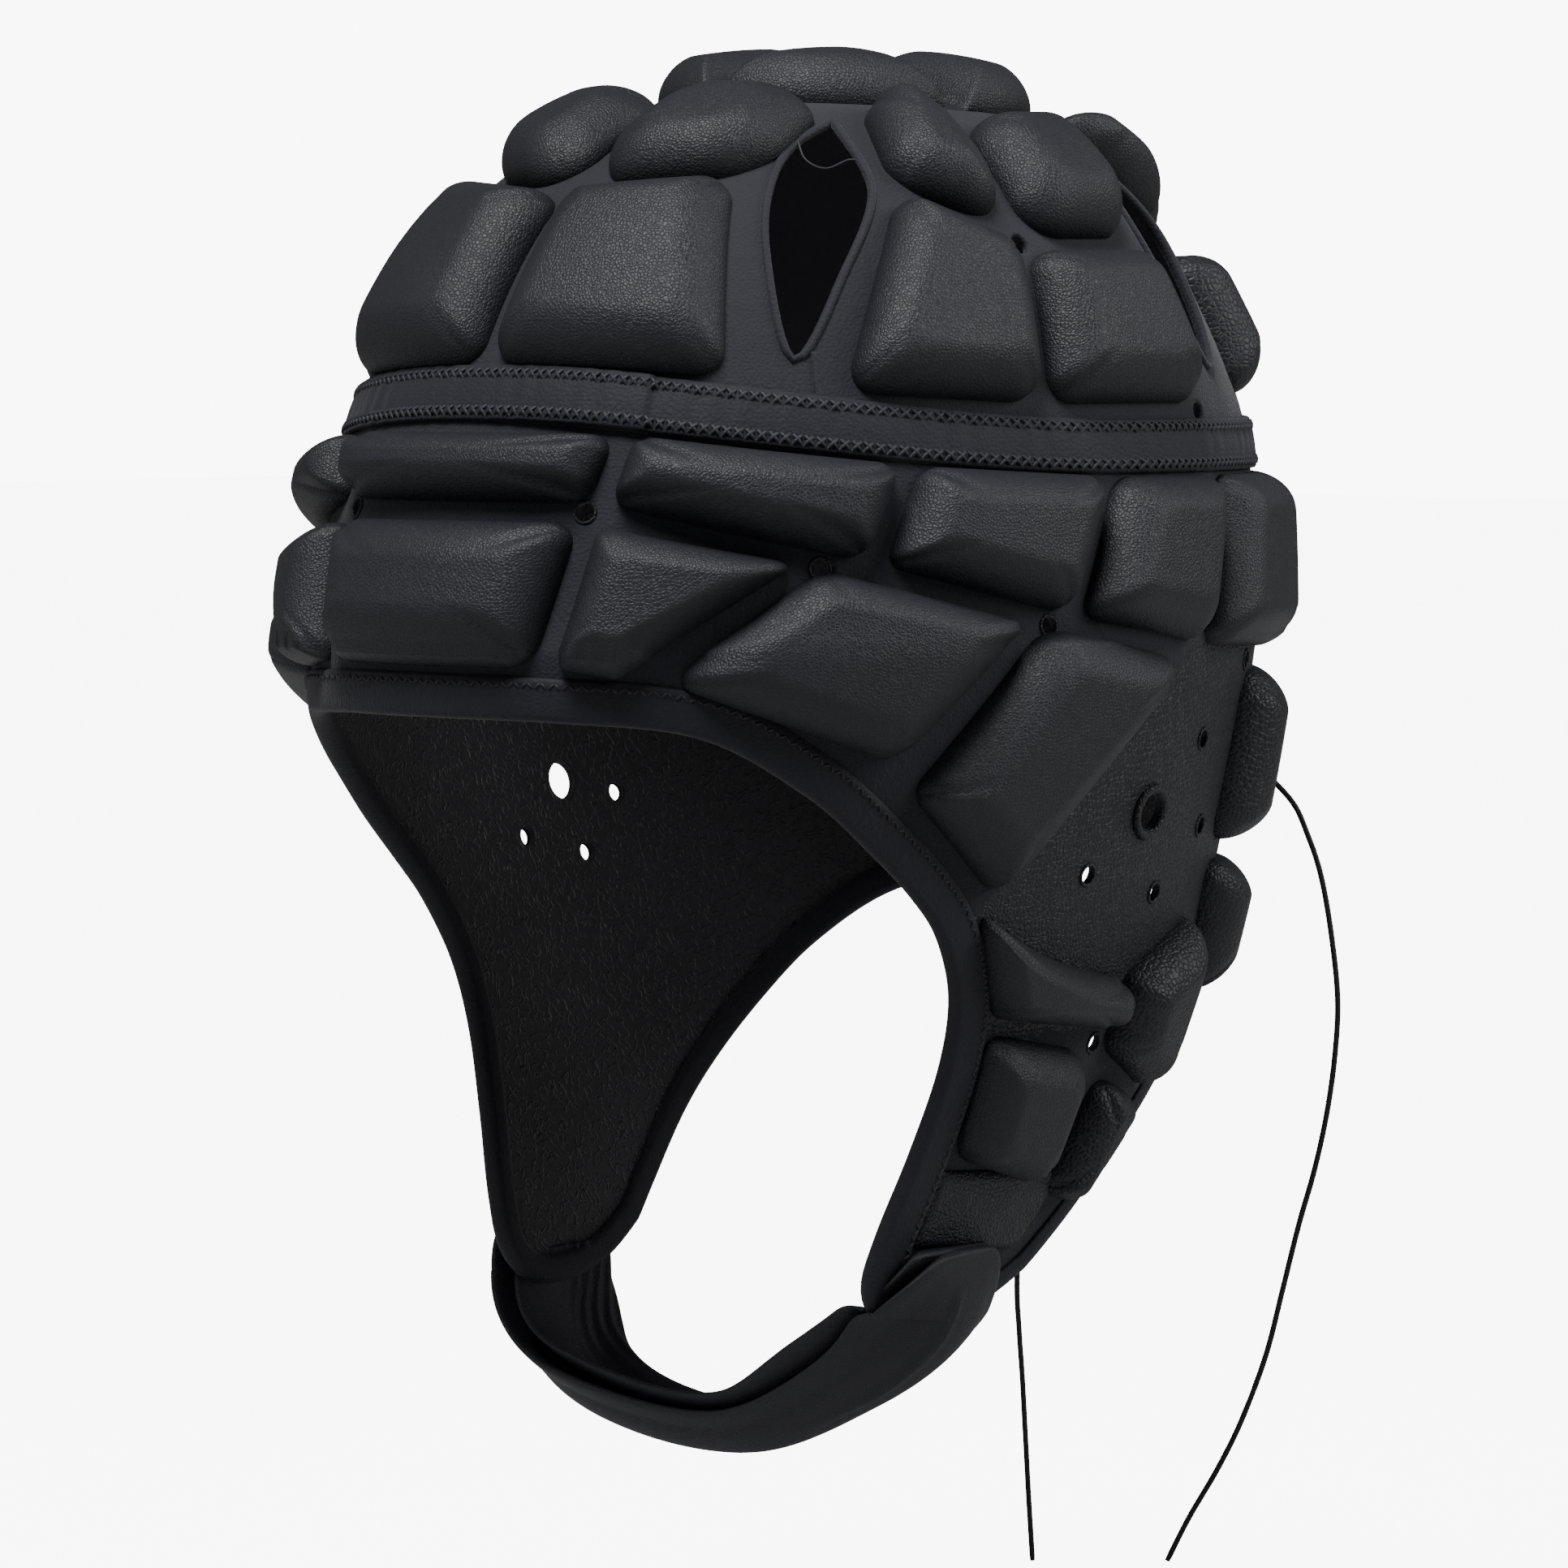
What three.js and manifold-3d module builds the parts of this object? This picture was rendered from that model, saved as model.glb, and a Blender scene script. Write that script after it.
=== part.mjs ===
// A padded goalkeeper headgear: a soft cap of two sewn panels carrying raised foam pads,
// with ear holes, four crown slits, a chin strap and a laced back. Millimetres, +Z up.
// The origin is the inside of the crown's top, where the head carries it; the face looks along -Y.

import * as THREE from "three";
import Module from "manifold-3d";

const wasm = await Module();
wasm.setup();

// Driving sizes

const sideReach = 79; // half the width of the cap at its widest level
const frontReach = 112; // from the section's centre forward
const backReach = 91; // from the section's centre back
const sectionBack = 9; // how far that centre lies behind the origin
const crownBack = 9; // how much further back it lies at the top
const crownHeight = 103.5; // from the widest level up to the top, outside
const cheekDrop = 125; // from the widest level down to the ends of the cheeks
const wall = 2.5; // cloth and foam of the two panels
const seamGap = 0.6; // between the two panels, under the tape
const clearance = 0.65; // under everything that lies on the panels
const padRise = 7.5; // height of a pad over the panel
const padRim = 1.3; // height of its edge
const padBevel = 7; // width of its sloping border
const channel = 4; // between two pads
const tapeWidth = 10;
const tapeThickness = 1;
const bindingWidth = 6.4; // on the outside of the brim and the face edge
const neckBindingWidth = 2.6; // on the outside of the neck edge
const bindingThickness = 1.1;
const bindingTurnIn = 4; // how far the binding reaches up the inside
const earHole = 7.4;
const earRing = 10.6;
const ringHeight = 1.2;
const smallHole = 3.4;
const strapWidth = 31;
const strapThickness = 2.4;
const strapDrop = 27; // from where the loop begins to turn down to its lowest level
const strapHalf = 0.595 * sideReach; // half the width of the loop at its top
const strapTilt = 42; // degrees that the strap's front half is turned up under the chin
const strapLip = 5; // how far the strap's inner layer shows before its outer one
const laceDiameter = 1.2;
const eyeletSpread = 9; // from the middle of the back to an eyelet

// The form of the head. A level is 1 at the top, 0 at the widest place and -1 at the
// ends of the cheeks; a turn is 0 at the face, 90 at the wearer's left ear and 180 behind.

const section = 2.1; // exponent of the rounded section
const browSection = { exponent: 2.3, from: 0.4 }; // in front it is a little squarer, from this level up
const profile = 2.5; // exponent of the rounded height
const waist = 0.14; // the crown's sides are drawn in a little between top and widest level
const sideTaper = { share: 0.4, power: 1.35 }; // how the sides draw in down to the cheeks' ends
const frontTaper = 0.06;
const backTaper = 0.22;
const backDraw = { share: 0.13, from: 0.35, to: 0.7 }; // the crown draws in faster behind
const lowest = -1.4; // no part of the cap lies below this level
const rad = Math.PI / 180;
const widest = wall - crownHeight;
const clamp = (x, low, high) => Math.min(Math.max(x, low), high);
const smooth = (x) => clamp(x, 0, 1) ** 2 * (3 - 2 * clamp(x, 0, 1));
const mix = (a, b, t) => a + (b - a) * t;
const powered = (x, p) => Math.sign(x) * Math.abs(x) ** p;

const heightOf = (level) => widest + level * (level > 0 ? crownHeight : cheekDrop);
const levelOf = (z) => (z - widest) / (z > widest ? crownHeight : cheekDrop);

function sizesAt(level) {
  const up = clamp(level, 0, 1);
  const down = clamp(-level, 0, -lowest);
  const behind = (up - backDraw.from) / (backDraw.to - backDraw.from);
  const square = smooth(up / browSection.from);
  return {
    side: sideReach * (1 - sideTaper.share * down ** sideTaper.power),
    front: frontReach * (1 - frontTaper * down),
    back: backReach * (1 - backTaper * down) * (1 - backDraw.share * smooth(behind)),
    centre: sectionBack + crownBack * (1 - (1 - up) ** 2),
    drawn: 1 - waist * up * (1 - up),
    brow: mix(section, browSection.exponent, square),
    up,
  };
}

const roundness = (across, along, power) =>
  (Math.abs(across) ** power + Math.abs(along) ** power) ** (1 / power);

// 1 on the cap's outside, less within it

function fullness(x, y, z) {
  const s = sizesAt(levelOf(z));
  const along = y - s.centre;
  const reach = along < 0 ? s.front : s.back;
  const out = roundness(x / s.side, along / reach, along < 0 ? s.brow : section);
  return (out / s.drawn) ** profile + s.up ** profile;
}

function outward(x, y, z) {
  const e = 0.05;
  return new THREE.Vector3(
    fullness(x + e, y, z) - fullness(x - e, y, z),
    fullness(x, y + e, z) - fullness(x, y - e, z),
    fullness(x, y, z + e) - fullness(x, y, z - e),
  ).normalize();
}

function place(turn, level, rho) {
  const s = sizesAt(level);
  const across = powered(Math.sin(turn * rad), 2 / section);
  const along = powered(Math.cos(turn * rad), 2 / section);
  const [reach, power] = along > 0 ? [s.front, s.brow] : [s.back, section];
  const r = rho / roundness(across, along, power);
  return new THREE.Vector3(s.side * r * across, s.centre - reach * r * along, heightOf(level));
}

// A point of the cap's outside by turn and level, and one by turn and fall from the top.

function byLevel(turn, level) {
  const up = clamp(level, 0, 1);
  return place(turn, level, (1 - up ** profile) ** (1 / profile) * sizesAt(level).drawn);
}

function byFall(turn, fall) {
  const f = clamp(fall, 0.01, 90) * rad;
  const level = Math.cos(f) ** (2 / profile);
  return place(turn, level, Math.sin(f) ** (2 / profile) * sizesAt(level).drawn);
}

const fallOf = (level) => Math.acos(level ** (profile / 2)) / rad;
const lifted = (p, h) => p.clone().addScaledVector(outward(p.x, p.y, p.z), h);

// Lines of the sewing: the tape, which dips towards the ears, and the channel over the ears,
// which falls from the brow to a turn behind the ear

const tapeLine = { level: 0.396, dip: 0.048 };
const earLine = { level: 0.251, fall: 0.295, from: 10, to: 115 };
const fromFace = (turn) => Math.abs(THREE.MathUtils.euclideanModulo(turn + 180, 360) - 180);
const tapeLevel = (turn) =>
  tapeLine.level + tapeLine.dip * Math.cos(2 * Math.min(fromFace(turn), 90) * rad);
const earLevel = (turn) => {
  const share = (fromFace(turn) - earLine.from) / (earLine.to - earLine.from);
  return earLine.level - earLine.fall * smooth(share);
};

// Solids

class Body {
  positions = [];
  faces = [];
  seen = new Map();

  vertex(p) {
    const key = [p.x, p.y, p.z].map((v) => Math.round(v * 2e3)).join();
    if (!this.seen.has(key)) {
      this.seen.set(key, this.positions.length / 3);
      this.positions.push(p.x, p.y, p.z);
    }
    return this.seen.get(key);
  }

  triangle(a, b, c) {
    if (a !== b && b !== c && c !== a) this.faces.push(a, b, c);
  }

  quad(a, b, c, d) {
    this.triangle(a, b, c);
    this.triangle(a, c, d);
  }

  point(i) {
    return new THREE.Vector3().fromArray(this.positions, 3 * i);
  }

  // Six times the volume, which is negative while the faces point inwards.
  sixfoldVolume() {
    let sum = 0;
    for (let i = 0; i < this.faces.length; i += 3) {
      const [a, b, c] = this.faces.slice(i, i + 3).map((v) => this.point(v));
      sum += a.dot(b.cross(c));
    }
    return sum;
  }

  geometry() {
    if (this.sixfoldVolume() < 0) this.faces.reverse();
    const g = new THREE.BufferGeometry();
    g.setAttribute("position", new THREE.Float32BufferAttribute(this.positions, 3));
    g.setIndex(this.faces);
    return g;
  }
}

// A slab between two grids of points, outer and inner, each a function of two shares.

function slab(columns, rows, outer, inner, { closed = false } = {}) {
  const body = new Body();
  const grid = (f) => rows.map((t) => columns.map((s) => body.vertex(f(s, t))));
  const [out, back] = [grid(outer), grid(inner)];
  const last = columns.length - 1;
  const end = rows.length - 1;
  for (let j = 0; j < end; j++)
    for (let i = 0; i < last; i++) {
      body.quad(out[j][i], out[j + 1][i], out[j + 1][i + 1], out[j][i + 1]);
      body.quad(back[j][i], back[j][i + 1], back[j + 1][i + 1], back[j + 1][i]);
    }
  for (let i = 0; i < last; i++) {
    body.quad(out[0][i], out[0][i + 1], back[0][i + 1], back[0][i]);
    body.quad(out[end][i], back[end][i], back[end][i + 1], out[end][i + 1]);
  }
  if (!closed)
    for (let j = 0; j < end; j++) {
      body.quad(out[j][0], back[j][0], back[j + 1][0], out[j + 1][0]);
      body.quad(out[j][last], out[j + 1][last], back[j + 1][last], back[j][last]);
    }
  return body.geometry();
}

// A bar through rings of points

function bar(rings, { closed = false } = {}) {
  const body = new Body();
  const loops = rings.map((ring) => ring.map((p) => body.vertex(p)));
  const sides = loops[0].length;
  const steps = closed ? loops.length : loops.length - 1;
  for (let j = 0; j < steps; j++) {
    const [a, b] = [loops[j], loops[(j + 1) % loops.length]];
    for (let i = 0; i < sides; i++) {
      const k = (i + 1) % sides;
      body.quad(a[i], b[i], b[k], a[k]);
    }
  }
  if (!closed) {
    const outline = rings[0].map((p, i) => i);
    for (const i of outline.slice(1, -1)) {
      body.triangle(loops[0][0], loops[0][i], loops[0][i + 1]);
      body.triangle(loops.at(-1)[0], loops.at(-1)[i + 1], loops.at(-1)[i]);
    }
  }
  return body.geometry();
}

function toManifold(geometry) {
  const vertProperties = new Float32Array(geometry.attributes.position.array);
  const triVerts = new Uint32Array(geometry.index.array);
  return new wasm.Manifold(new wasm.Mesh({ numProp: 3, vertProperties, triVerts }));
}

function toGeometry(manifold) {
  const mesh = manifold.getMesh();
  const g = new THREE.BufferGeometry();
  g.setAttribute("position", new THREE.BufferAttribute(mesh.vertProperties, 3));
  g.setIndex(new THREE.BufferAttribute(mesh.triVerts, 1));
  return g;
}

const cut = (base, tools) => tools.reduce((b, t) => b.subtract(toManifold(t)), base);
const steps = (n) => Array.from({ length: n + 1 }, (_, i) => i / n);

// A prism through the wall along the outward direction at the middle of its outline.

function punch(points, depth = 3 * wall) {
  const centre = points.reduce((a, p) => a.add(p), new THREE.Vector3());
  centre.divideScalar(points.length);
  const way = outward(centre.x, centre.y, centre.z);
  const shift = (h) => points.map((p) => p.clone().addScaledVector(way, h));
  return bar([shift(-depth), shift(depth)]);
}

function ringAt(centre, diameter, sides) {
  const way = outward(centre.x, centre.y, centre.z);
  const across = new THREE.Vector3(0, 0, 1).cross(way).normalize();
  const up = way.clone().cross(across);
  return steps(sides).slice(0, -1).map((s) => {
    const a = 2 * Math.PI * s;
    const p = centre.clone().addScaledVector(across, Math.cos(a) * diameter / 2);
    return p.addScaledVector(up, Math.sin(a) * diameter / 2);
  });
}

const drill = (centre, diameter, sides = 6) => punch(ringAt(centre, diameter, sides));

// The closed edge of the lower panel, for the wearer's left half, from the brim's middle
// down the face opening, round the cheek's end and up the neck to the nape. Each place on
// it has the turn on the tape that the cloth runs up to.

const edge = [
  // turn, level, turn at the tape
  [0, -0.084, 0],
  [20, -0.088, 18],
  [37, -0.11, 34],
  [50, -0.196, 47],
  [59, -0.29, 56],
  [65, -0.362, 63],
  [69, -0.425, 69],
  [72.2, -0.52, 75],
  [72.8, -0.63, 81],
  [71.3, -0.76, 86],
  [69.3, -0.88, 89.5],
  [69, -0.96, 92],
  [72.5, -1.01, 94.5],
  [79.5, -1.015, 97.5],
  [86.5, -0.985, 100.5],
  [95, -0.9, 104],
  [107.5, -0.764, 109.5],
  [123, -0.62, 118],
  [134, -0.528, 128],
  [147, -0.45, 142],
  [163, -0.408, 161],
  [180, -0.396, 180],
];
const cheekEnd = 12; // the row of that table where the face edge becomes the neck edge
const chartScale = new THREE.Vector3(1, 100, 1);
const onChart = (row) => new THREE.Vector3(...row).multiply(chartScale);
const mirrorEnd = ([turn, level, top], about) => [2 * about - turn, level, 2 * about - top];
const edgeCurve = new THREE.CatmullRomCurve3(
  [mirrorEnd(edge[1], 0), ...edge, mirrorEnd(edge.at(-2), 180)].map(onChart),
);
const halfSteps = 26;
const spans = edge.length + 1;
const edgeHalf = steps(halfSteps).map((s) => {
  const p = edgeCurve.getPoint(mix(1 / spans, 1 - 1 / spans, s)).divide(chartScale);
  const neck = smooth((s * (edge.length - 1) - cheekEnd) / 2 + 0.5);
  return { turn: p.x, level: p.y, top: p.z, neck };
});
const otherHalf = edgeHalf.slice(1, -1).reverse();
const edgeLoop = [
  ...edgeHalf,
  ...otherHalf.map((e) => ({ ...e, turn: 360 - e.turn, top: 360 - e.top })),
];

// Reads one column of the edge from another, between the first and last row given.

function alongEdge(given, wanted, x, first, last) {
  const rows = edge.slice(first, last + 1);
  const i = rows.findIndex((row, k) => k > 0 && (row[given] - x) * (rows[k - 1][given] - x) <= 0);
  const [a, b] = i > 0 ? [rows[i - 1], rows[i]] : rows.slice(-2);
  return mix(a[wanted], b[wanted], (x - a[given]) / (b[given] - a[given]));
}

const pinch = 0.8; // between a binding and the pads beside it
const perTurn = (turn, level) => byLevel(turn - 0.5, level).distanceTo(byLevel(turn + 0.5, level));

// Corners of pads, each a turn and a level: under the tape, on the line over the ears, over
// the brim's binding, beside the face edge's binding and over the neck edge's binding. The
// brim and the neck edge slope, so a binding is higher there than it is wide.

const brimSlope = 1.15;
const neckSlope = 1.3;
const underTape = (turn) => {
  const reach = tapeWidth / 2 + pinch - channel / 2;
  return [turn, tapeLevel(turn) - reach / crownHeight];
};
const onEarLine = (turn) => [turn, earLevel(turn)];
const overBrim = (turn, more = 0) => {
  const reach = brimSlope * (bindingWidth + pinch) - channel / 2;
  return [turn, alongEdge(0, 1, fromFace(turn), 0, 6) + reach / cheekDrop + more];
};
const byFace = (level, more = 0) => {
  const turn = alongEdge(1, 0, level, 4, cheekEnd);
  const reach = bindingWidth + pinch - channel / 2;
  return [turn + reach / perTurn(turn, level) + more, level];
};
const overNeck = (turn, more = 0) => {
  const reach = neckSlope * (neckBindingWidth + pinch) - channel / 2;
  return [turn, alongEdge(0, 1, turn, cheekEnd + 1, edge.length - 1) + reach / cheekDrop + more];
};

// Crown panel: a dome down to the tape, with a slit on each side in front and behind

const frontSlit = [
  // turn, fall
  [46, 24],
  [39, 31],
  [37, 40],
  [38.5, 51],
  [44, 65],
  [50, 53],
  [53.5, 43],
  [52.5, 36],
];
const rearSlit = [
  [109, 32],
  [104, 41],
  [105, 53],
  [111, 66],
  [118, 57],
  [120, 46],
];
const crownVents = [
  [76, 49.5],
  [103.5, 71],
];
const bothSides = (rows) => rows.flatMap(([turn, ...rest]) => [[turn, ...rest], [-turn, ...rest]]);

function crownPanel() {
  const rim = (turn) => fallOf(tapeLevel(turn) + seamGap / 2 / crownHeight);
  const at = (h) => (s, t) => lifted(byFall(360 * s, t * rim(360 * s)), h);
  const dome = toManifold(slab(steps(32), steps(6), at(0), at(-wall), { closed: true }));
  const slits = [frontSlit, rearSlit].flatMap((slit) =>
    [1, -1].map((side) => punch(slit.map(([turn, fall]) => byFall(side * turn, fall)))),
  );
  const vents = bothSides(crownVents).map(([turn, fall]) => drill(byFall(turn, fall), smallHole));
  return cut(dome, [...slits, ...vents]);
}

// Lower panel: a band round the head with the ear panels, cheeks and nape. Its columns run
// from the tape to the edge, and a plain patch lies on each cheek over the strap.

const ears = [
  // turn, level, on the left and on the right
  [95, -0.258],
  [-93.8, -0.264],
];
const ringSides = 10;
const smallHoles = [
  // turn, level: round the left ear hole, on the left cheek, round the right ear hole
  [86.5, -0.346],
  [100, -0.385],
  [110.2, -0.291],
  [105.4, -0.155],
  [93.7, -0.61],
  [-86.9, -0.348],
  [-96.2, -0.38],
  [-103, -0.288],
  [-105.4, -0.155],
];
const browHoles = [
  // turn, level: where channels meet, on both sides
  [20.3, 0.242],
  [49.1, 0.145],
  [76.8, 0.036],
  [118.5, -0.042],
];
const besidePatch = channel / 2 / perTurn(71, -0.85);
const patchCorners = [
  byFace(-0.795, besidePatch),
  [87.5, -0.868],
  [84, -0.935],
  byFace(-0.88, besidePatch),
];
const patchRise = 1.6;

const between = (corners, column, s, t) => {
  const [tl, tr, br, bl] = corners.map((corner) => corner[column]);
  return mix(mix(tl, tr, s), mix(bl, br, s), t);
};

const columnBend = 2.5; // the columns of the cloth run straight down before they bend

function lowerPanel() {
  const columns = edgeLoop.length;
  const at = (h) => (s, t) => {
    const e = edgeLoop[Math.round(s * columns) % columns];
    const from = tapeLevel(e.top) - seamGap / 2 / crownHeight;
    const turn = mix(e.top, e.turn, t ** columnBend);
    return lifted(byLevel(turn, mix(from, e.level, t)), h);
  };
  const band = toManifold(slab(steps(columns), steps(5), at(0), at(-wall), { closed: true }));
  const rings = ears.map(([turn, level]) => {
    const centre = byLevel(turn, level);
    const way = outward(centre.x, centre.y, centre.z);
    const ring = ringAt(centre, earRing, ringSides);
    const shift = (h) => ring.map((p) => p.clone().addScaledVector(way, h));
    return bar([shift(-wall / 2), shift(ringHeight)]);
  });
  const patches = [1, -1].map((side) => {
    const cell = (s, t) => {
      const turn = side * between(patchCorners, 0, s, t);
      return byLevel(turn, between(patchCorners, 1, s, t));
    };
    const face = (h) => (s, t) => lifted(cell(s, t), h);
    return slab(steps(2), steps(1), face(patchRise), face(-wall / 2));
  });
  const whole = [...rings, ...patches].reduce((b, g) => b.add(toManifold(g)), band);
  const holes = [...smallHoles, ...bothSides(browHoles)].map(([turn, level]) =>
    drill(byLevel(turn, level), smallHole),
  );
  const earHoles = ears.map(([turn, level]) => drill(byLevel(turn, level), earHole, ringSides));
  return cut(whole, [...earHoles, ...holes]);
}

// Tape over the seam of the two panels

function seamTape() {
  const at = (h) => (s, t) => {
    const level = tapeLevel(360 * s) + ((0.5 - t) * tapeWidth) / crownHeight;
    return lifted(byLevel(360 * s, level), h);
  };
  return slab(steps(36), steps(1), at(clearance + tapeThickness), at(clearance), { closed: true });
}

// Binding folded round the whole edge of the lower panel: brim, face, cheeks and neck

function edgeBinding() {
  const points = edgeLoop.map((e) => byLevel(e.turn, e.level));
  const outer = clearance + bindingThickness;
  const inner = wall + 1.5 * clearance + bindingThickness;
  const folded = (width) => [
    [width, clearance],
    [width, outer],
    [-outer, outer],
    [-outer, -inner],
    [bindingTurnIn, -inner],
    [bindingTurnIn, -inner + bindingThickness],
    [-clearance, -inner + bindingThickness],
    [-clearance, clearance],
  ];
  const rings = points.map((p, i) => {
    const before = points.at(i - 1);
    const after = points[(i + 1) % points.length];
    const along = after.clone().sub(before).normalize();
    const out = outward(p.x, p.y, p.z);
    const into = out.clone().cross(along).normalize();
    const width = mix(bindingWidth, neckBindingWidth, edgeLoop[i].neck);
    return folded(width).map(([inwards, outwards]) =>
      p.clone().addScaledVector(into, inwards).addScaledVector(out, outwards),
    );
  });
  return bar(rings, { closed: true });
}

// Pads. A cell is four corners on the middles of the channels round it, clockwise from the
// upper left, each a turn with a fall from the top or a level. Its upper edge may sag by a
// share of its height, and grid is its number of columns and rows.

const crownCells = {
  front_crown: { corners: [[0, 41.5], [32.5, 39], [37, 68], [0, 66.5]], grid: [5, 4] },
  temple_crown: { corners: [[56, 41], [75.5, 50], [75.5, 71], [49, 69.5]] },
  side_crown: { corners: [[75.5, 50], [98, 49.5], [103, 71], [75.5, 71]] },
  rear_crown: { corners: [[125, 50], [157, 50], [157, 70], [122, 70]], grid: [5, 4] },
  front_leaf: { corners: [[0, 18.5], [48, 20], [36, 39.5], [0, 41.5]], grid: [5, 4] },
  temple_leaf: { corners: [[50, 19.5], [71, 18], [76.5, 49], [56, 41]] },
  side_leaf: { corners: [[72.5, 25], [101, 24], [99, 49.5], [76.5, 50]] },
  rear_leaf: { corners: [[101, 24], [138, 24], [140, 49.5], [116, 34]] },
  back_leaf: { corners: [[138, 24], [180, 24], [180, 49.5], [140, 49.5]], grid: [5, 4] },
};
const crownMiddle = {
  nape_crown: { corners: [[157, 50], [203, 50], [203, 70], [157, 70]], grid: [6, 4] },
};
const sideCells = {
  temple_brow: {
    corners: [underTape(24.5), underTape(59), onEarLine(55), onEarLine(22)],
    grid: [5, 4],
  },
  side_brow: { corners: [underTape(59), underTape(84.5), onEarLine(79.5), onEarLine(55)] },
  ear_brow: { corners: [underTape(84.5), underTape(104.5), onEarLine(100), onEarLine(79.5)] },
  rear_brow: { corners: [underTape(104.5), underTape(127), onEarLine(127), onEarLine(100)] },
  back_brow: {
    corners: [underTape(127), underTape(157), onEarLine(157), onEarLine(127)],
    grid: [5, 4],
  },
  front_cheekbone: {
    corners: [onEarLine(21.5), onEarLine(49), overBrim(28), overBrim(17.8)],
    grid: [3, 3],
  },
  side_cheekbone: {
    corners: [onEarLine(49), onEarLine(76), overBrim(59.5, 0.07), overBrim(31, 0.004)],
    grid: [5, 4],
  },
  ear_cheekbone: {
    corners: [onEarLine(76), onEarLine(96), [74, -0.388], overBrim(60, 0.045)],
    grid: [4, 5],
  },
  ear_back: {
    corners: [onEarLine(117), onEarLine(156), [156, -0.336], [115.5, -0.336]],
    grid: [5, 4],
  },
  neck_back: {
    corners: [[116, -0.344], [140, -0.344], overNeck(139), overNeck(124)],
    grid: [3, 3],
  },
  upper_cheek: {
    corners: [byFace(-0.366, 3), [97, -0.5], [95.5, -0.6], byFace(-0.556, 0.8)],
    sag: 0.16,
  },
  rear_cheek: {
    corners: [[97, -0.5], [115, -0.415], overNeck(113.5), [95.5, -0.617]],
    grid: [3, 3],
  },
  lower_cheek: {
    corners: [byFace(-0.556, 0.6), [92, -0.606], [89, -0.838], byFace(-0.772, 0.9)],
  },
  end_cheek: {
    corners: [[95.5, -0.64], [108, -0.685], overNeck(96), [88.5, -0.84]],
    grid: [3, 3],
  },
};
const middleCells = {
  front_brow: {
    corners: [underTape(-24.5), underTape(24.5), onEarLine(22), onEarLine(-22)],
    grid: [6, 4],
  },
  nape_brow: {
    corners: [underTape(157), underTape(203), onEarLine(203), onEarLine(157)],
    grid: [6, 4],
  },
  front_band: {
    corners: [onEarLine(-21.5), onEarLine(21.5), overBrim(17.8), overBrim(-17.8)],
    grid: [6, 4],
  },
};

// Where a share of the cell lies on the cap.

function onCell({ corners, sag = 0, falls = false }, s, t) {
  const turn = between(corners, 0, s, t);
  const height = between(corners, 1, s, t);
  if (falls) return byFall(turn, height);
  const drop = sag * (corners[0][1] - corners[3][1]) * 4 * s * (1 - s) * (1 - t);
  return byLevel(turn, height - drop);
}

// Places on a pad's grid: close together over the sloping border, wide apart between.

const slopeShare = 0.17;
const spacing = (n) => [0, ...steps(n - 2).map((s) => mix(slopeShare, 1 - slopeShare, s)), 1];
const slope = (x) => 1 - (1 - clamp(x, 0, 1)) ** 2;
const rounding = 0.24; // how much the corners are drawn in

function padSolid(cell, side = 1) {
  const [across, down] = cell.grid ?? [4, 4];
  const drawIn = (x, y) => (1 + x * Math.sqrt(1 - (rounding * y * y) / 2)) / 2;
  const at = (raised) => (s, t) => {
    const s1 = drawIn(2 * s - 1, 2 * t - 1);
    const t1 = drawIn(2 * t - 1, 2 * s - 1);
    const wide = onCell(cell, 0, t1).distanceTo(onCell(cell, 1, t1));
    const tall = onCell(cell, s1, 0).distanceTo(onCell(cell, s1, 1));
    const inset = [channel / 2 / wide, channel / 2 / tall];
    const p = onCell(cell, mix(inset[0], 1 - inset[0], s1), mix(inset[1], 1 - inset[1], t1));
    const fromSide = Math.min(s, 1 - s) * (wide - channel);
    const fromEnd = Math.min(t, 1 - t) * (tall - channel);
    const full = slope(fromSide / padBevel) * slope(fromEnd / padBevel);
    const height = raised ? padRim + (padRise - padRim) * full : 0;
    return lifted(p, clearance + height).multiply(new THREE.Vector3(side, 1, 1));
  };
  return slab(spacing(across), spacing(down), at(true), at(false));
}

// The four pads round the top are one moulding, with a cross of channels between them.

const topRim = { front: 16, back: 22 }; // fall of the top pads' outer edge
const topLines = [0, 83, 180, 277, 360]; // turns of the channels between the top pads

function topPads() {
  const rim = (turn) => {
    const behind = smooth((turn > 180 ? 360 - turn : turn) / 180);
    return mix(topRim.front, topRim.back, behind);
  };
  const height = (turn, fall) => {
    const p = byFall(turn, fall);
    const line = topLines.reduce((near, l) => Math.min(near, Math.abs(turn - l)), 360);
    const radius = Math.hypot(p.x, p.y - byFall(turn, 0).y);
    const aside = radius * Math.sin(Math.min(line, 90) * rad) - channel / 2;
    const inside = p.distanceTo(byFall(turn, rim(turn)));
    return padRim + (padRise - padRim) * slope(aside / padBevel) * slope(inside / padBevel);
  };
  const turns = topLines
    .slice(0, -1)
    .flatMap((line, i) => [0, 0.2, 0.5, 0.8].map((s) => mix(line, topLines[i + 1], s)));
  const columns = [...turns, 360].map((turn) => turn / 360);
  const at = (raised) => (s, t) => {
    const turn = 360 * s;
    const fall = t * rim(turn);
    return lifted(byFall(turn, fall), clearance + (raised ? height(turn, fall) : 0));
  };
  return slab(columns, [0, 0.3, 0.6, 0.84, 1], at(true), at(false), { closed: true });
}

// Chin strap: a loop from cheek to cheek in two layers. The inner one goes on from the ends
// of the cheeks and the outer one lies over them, as a tongue on the left cheek. Both halves
// of its width are turned up, the front one more.

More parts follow.
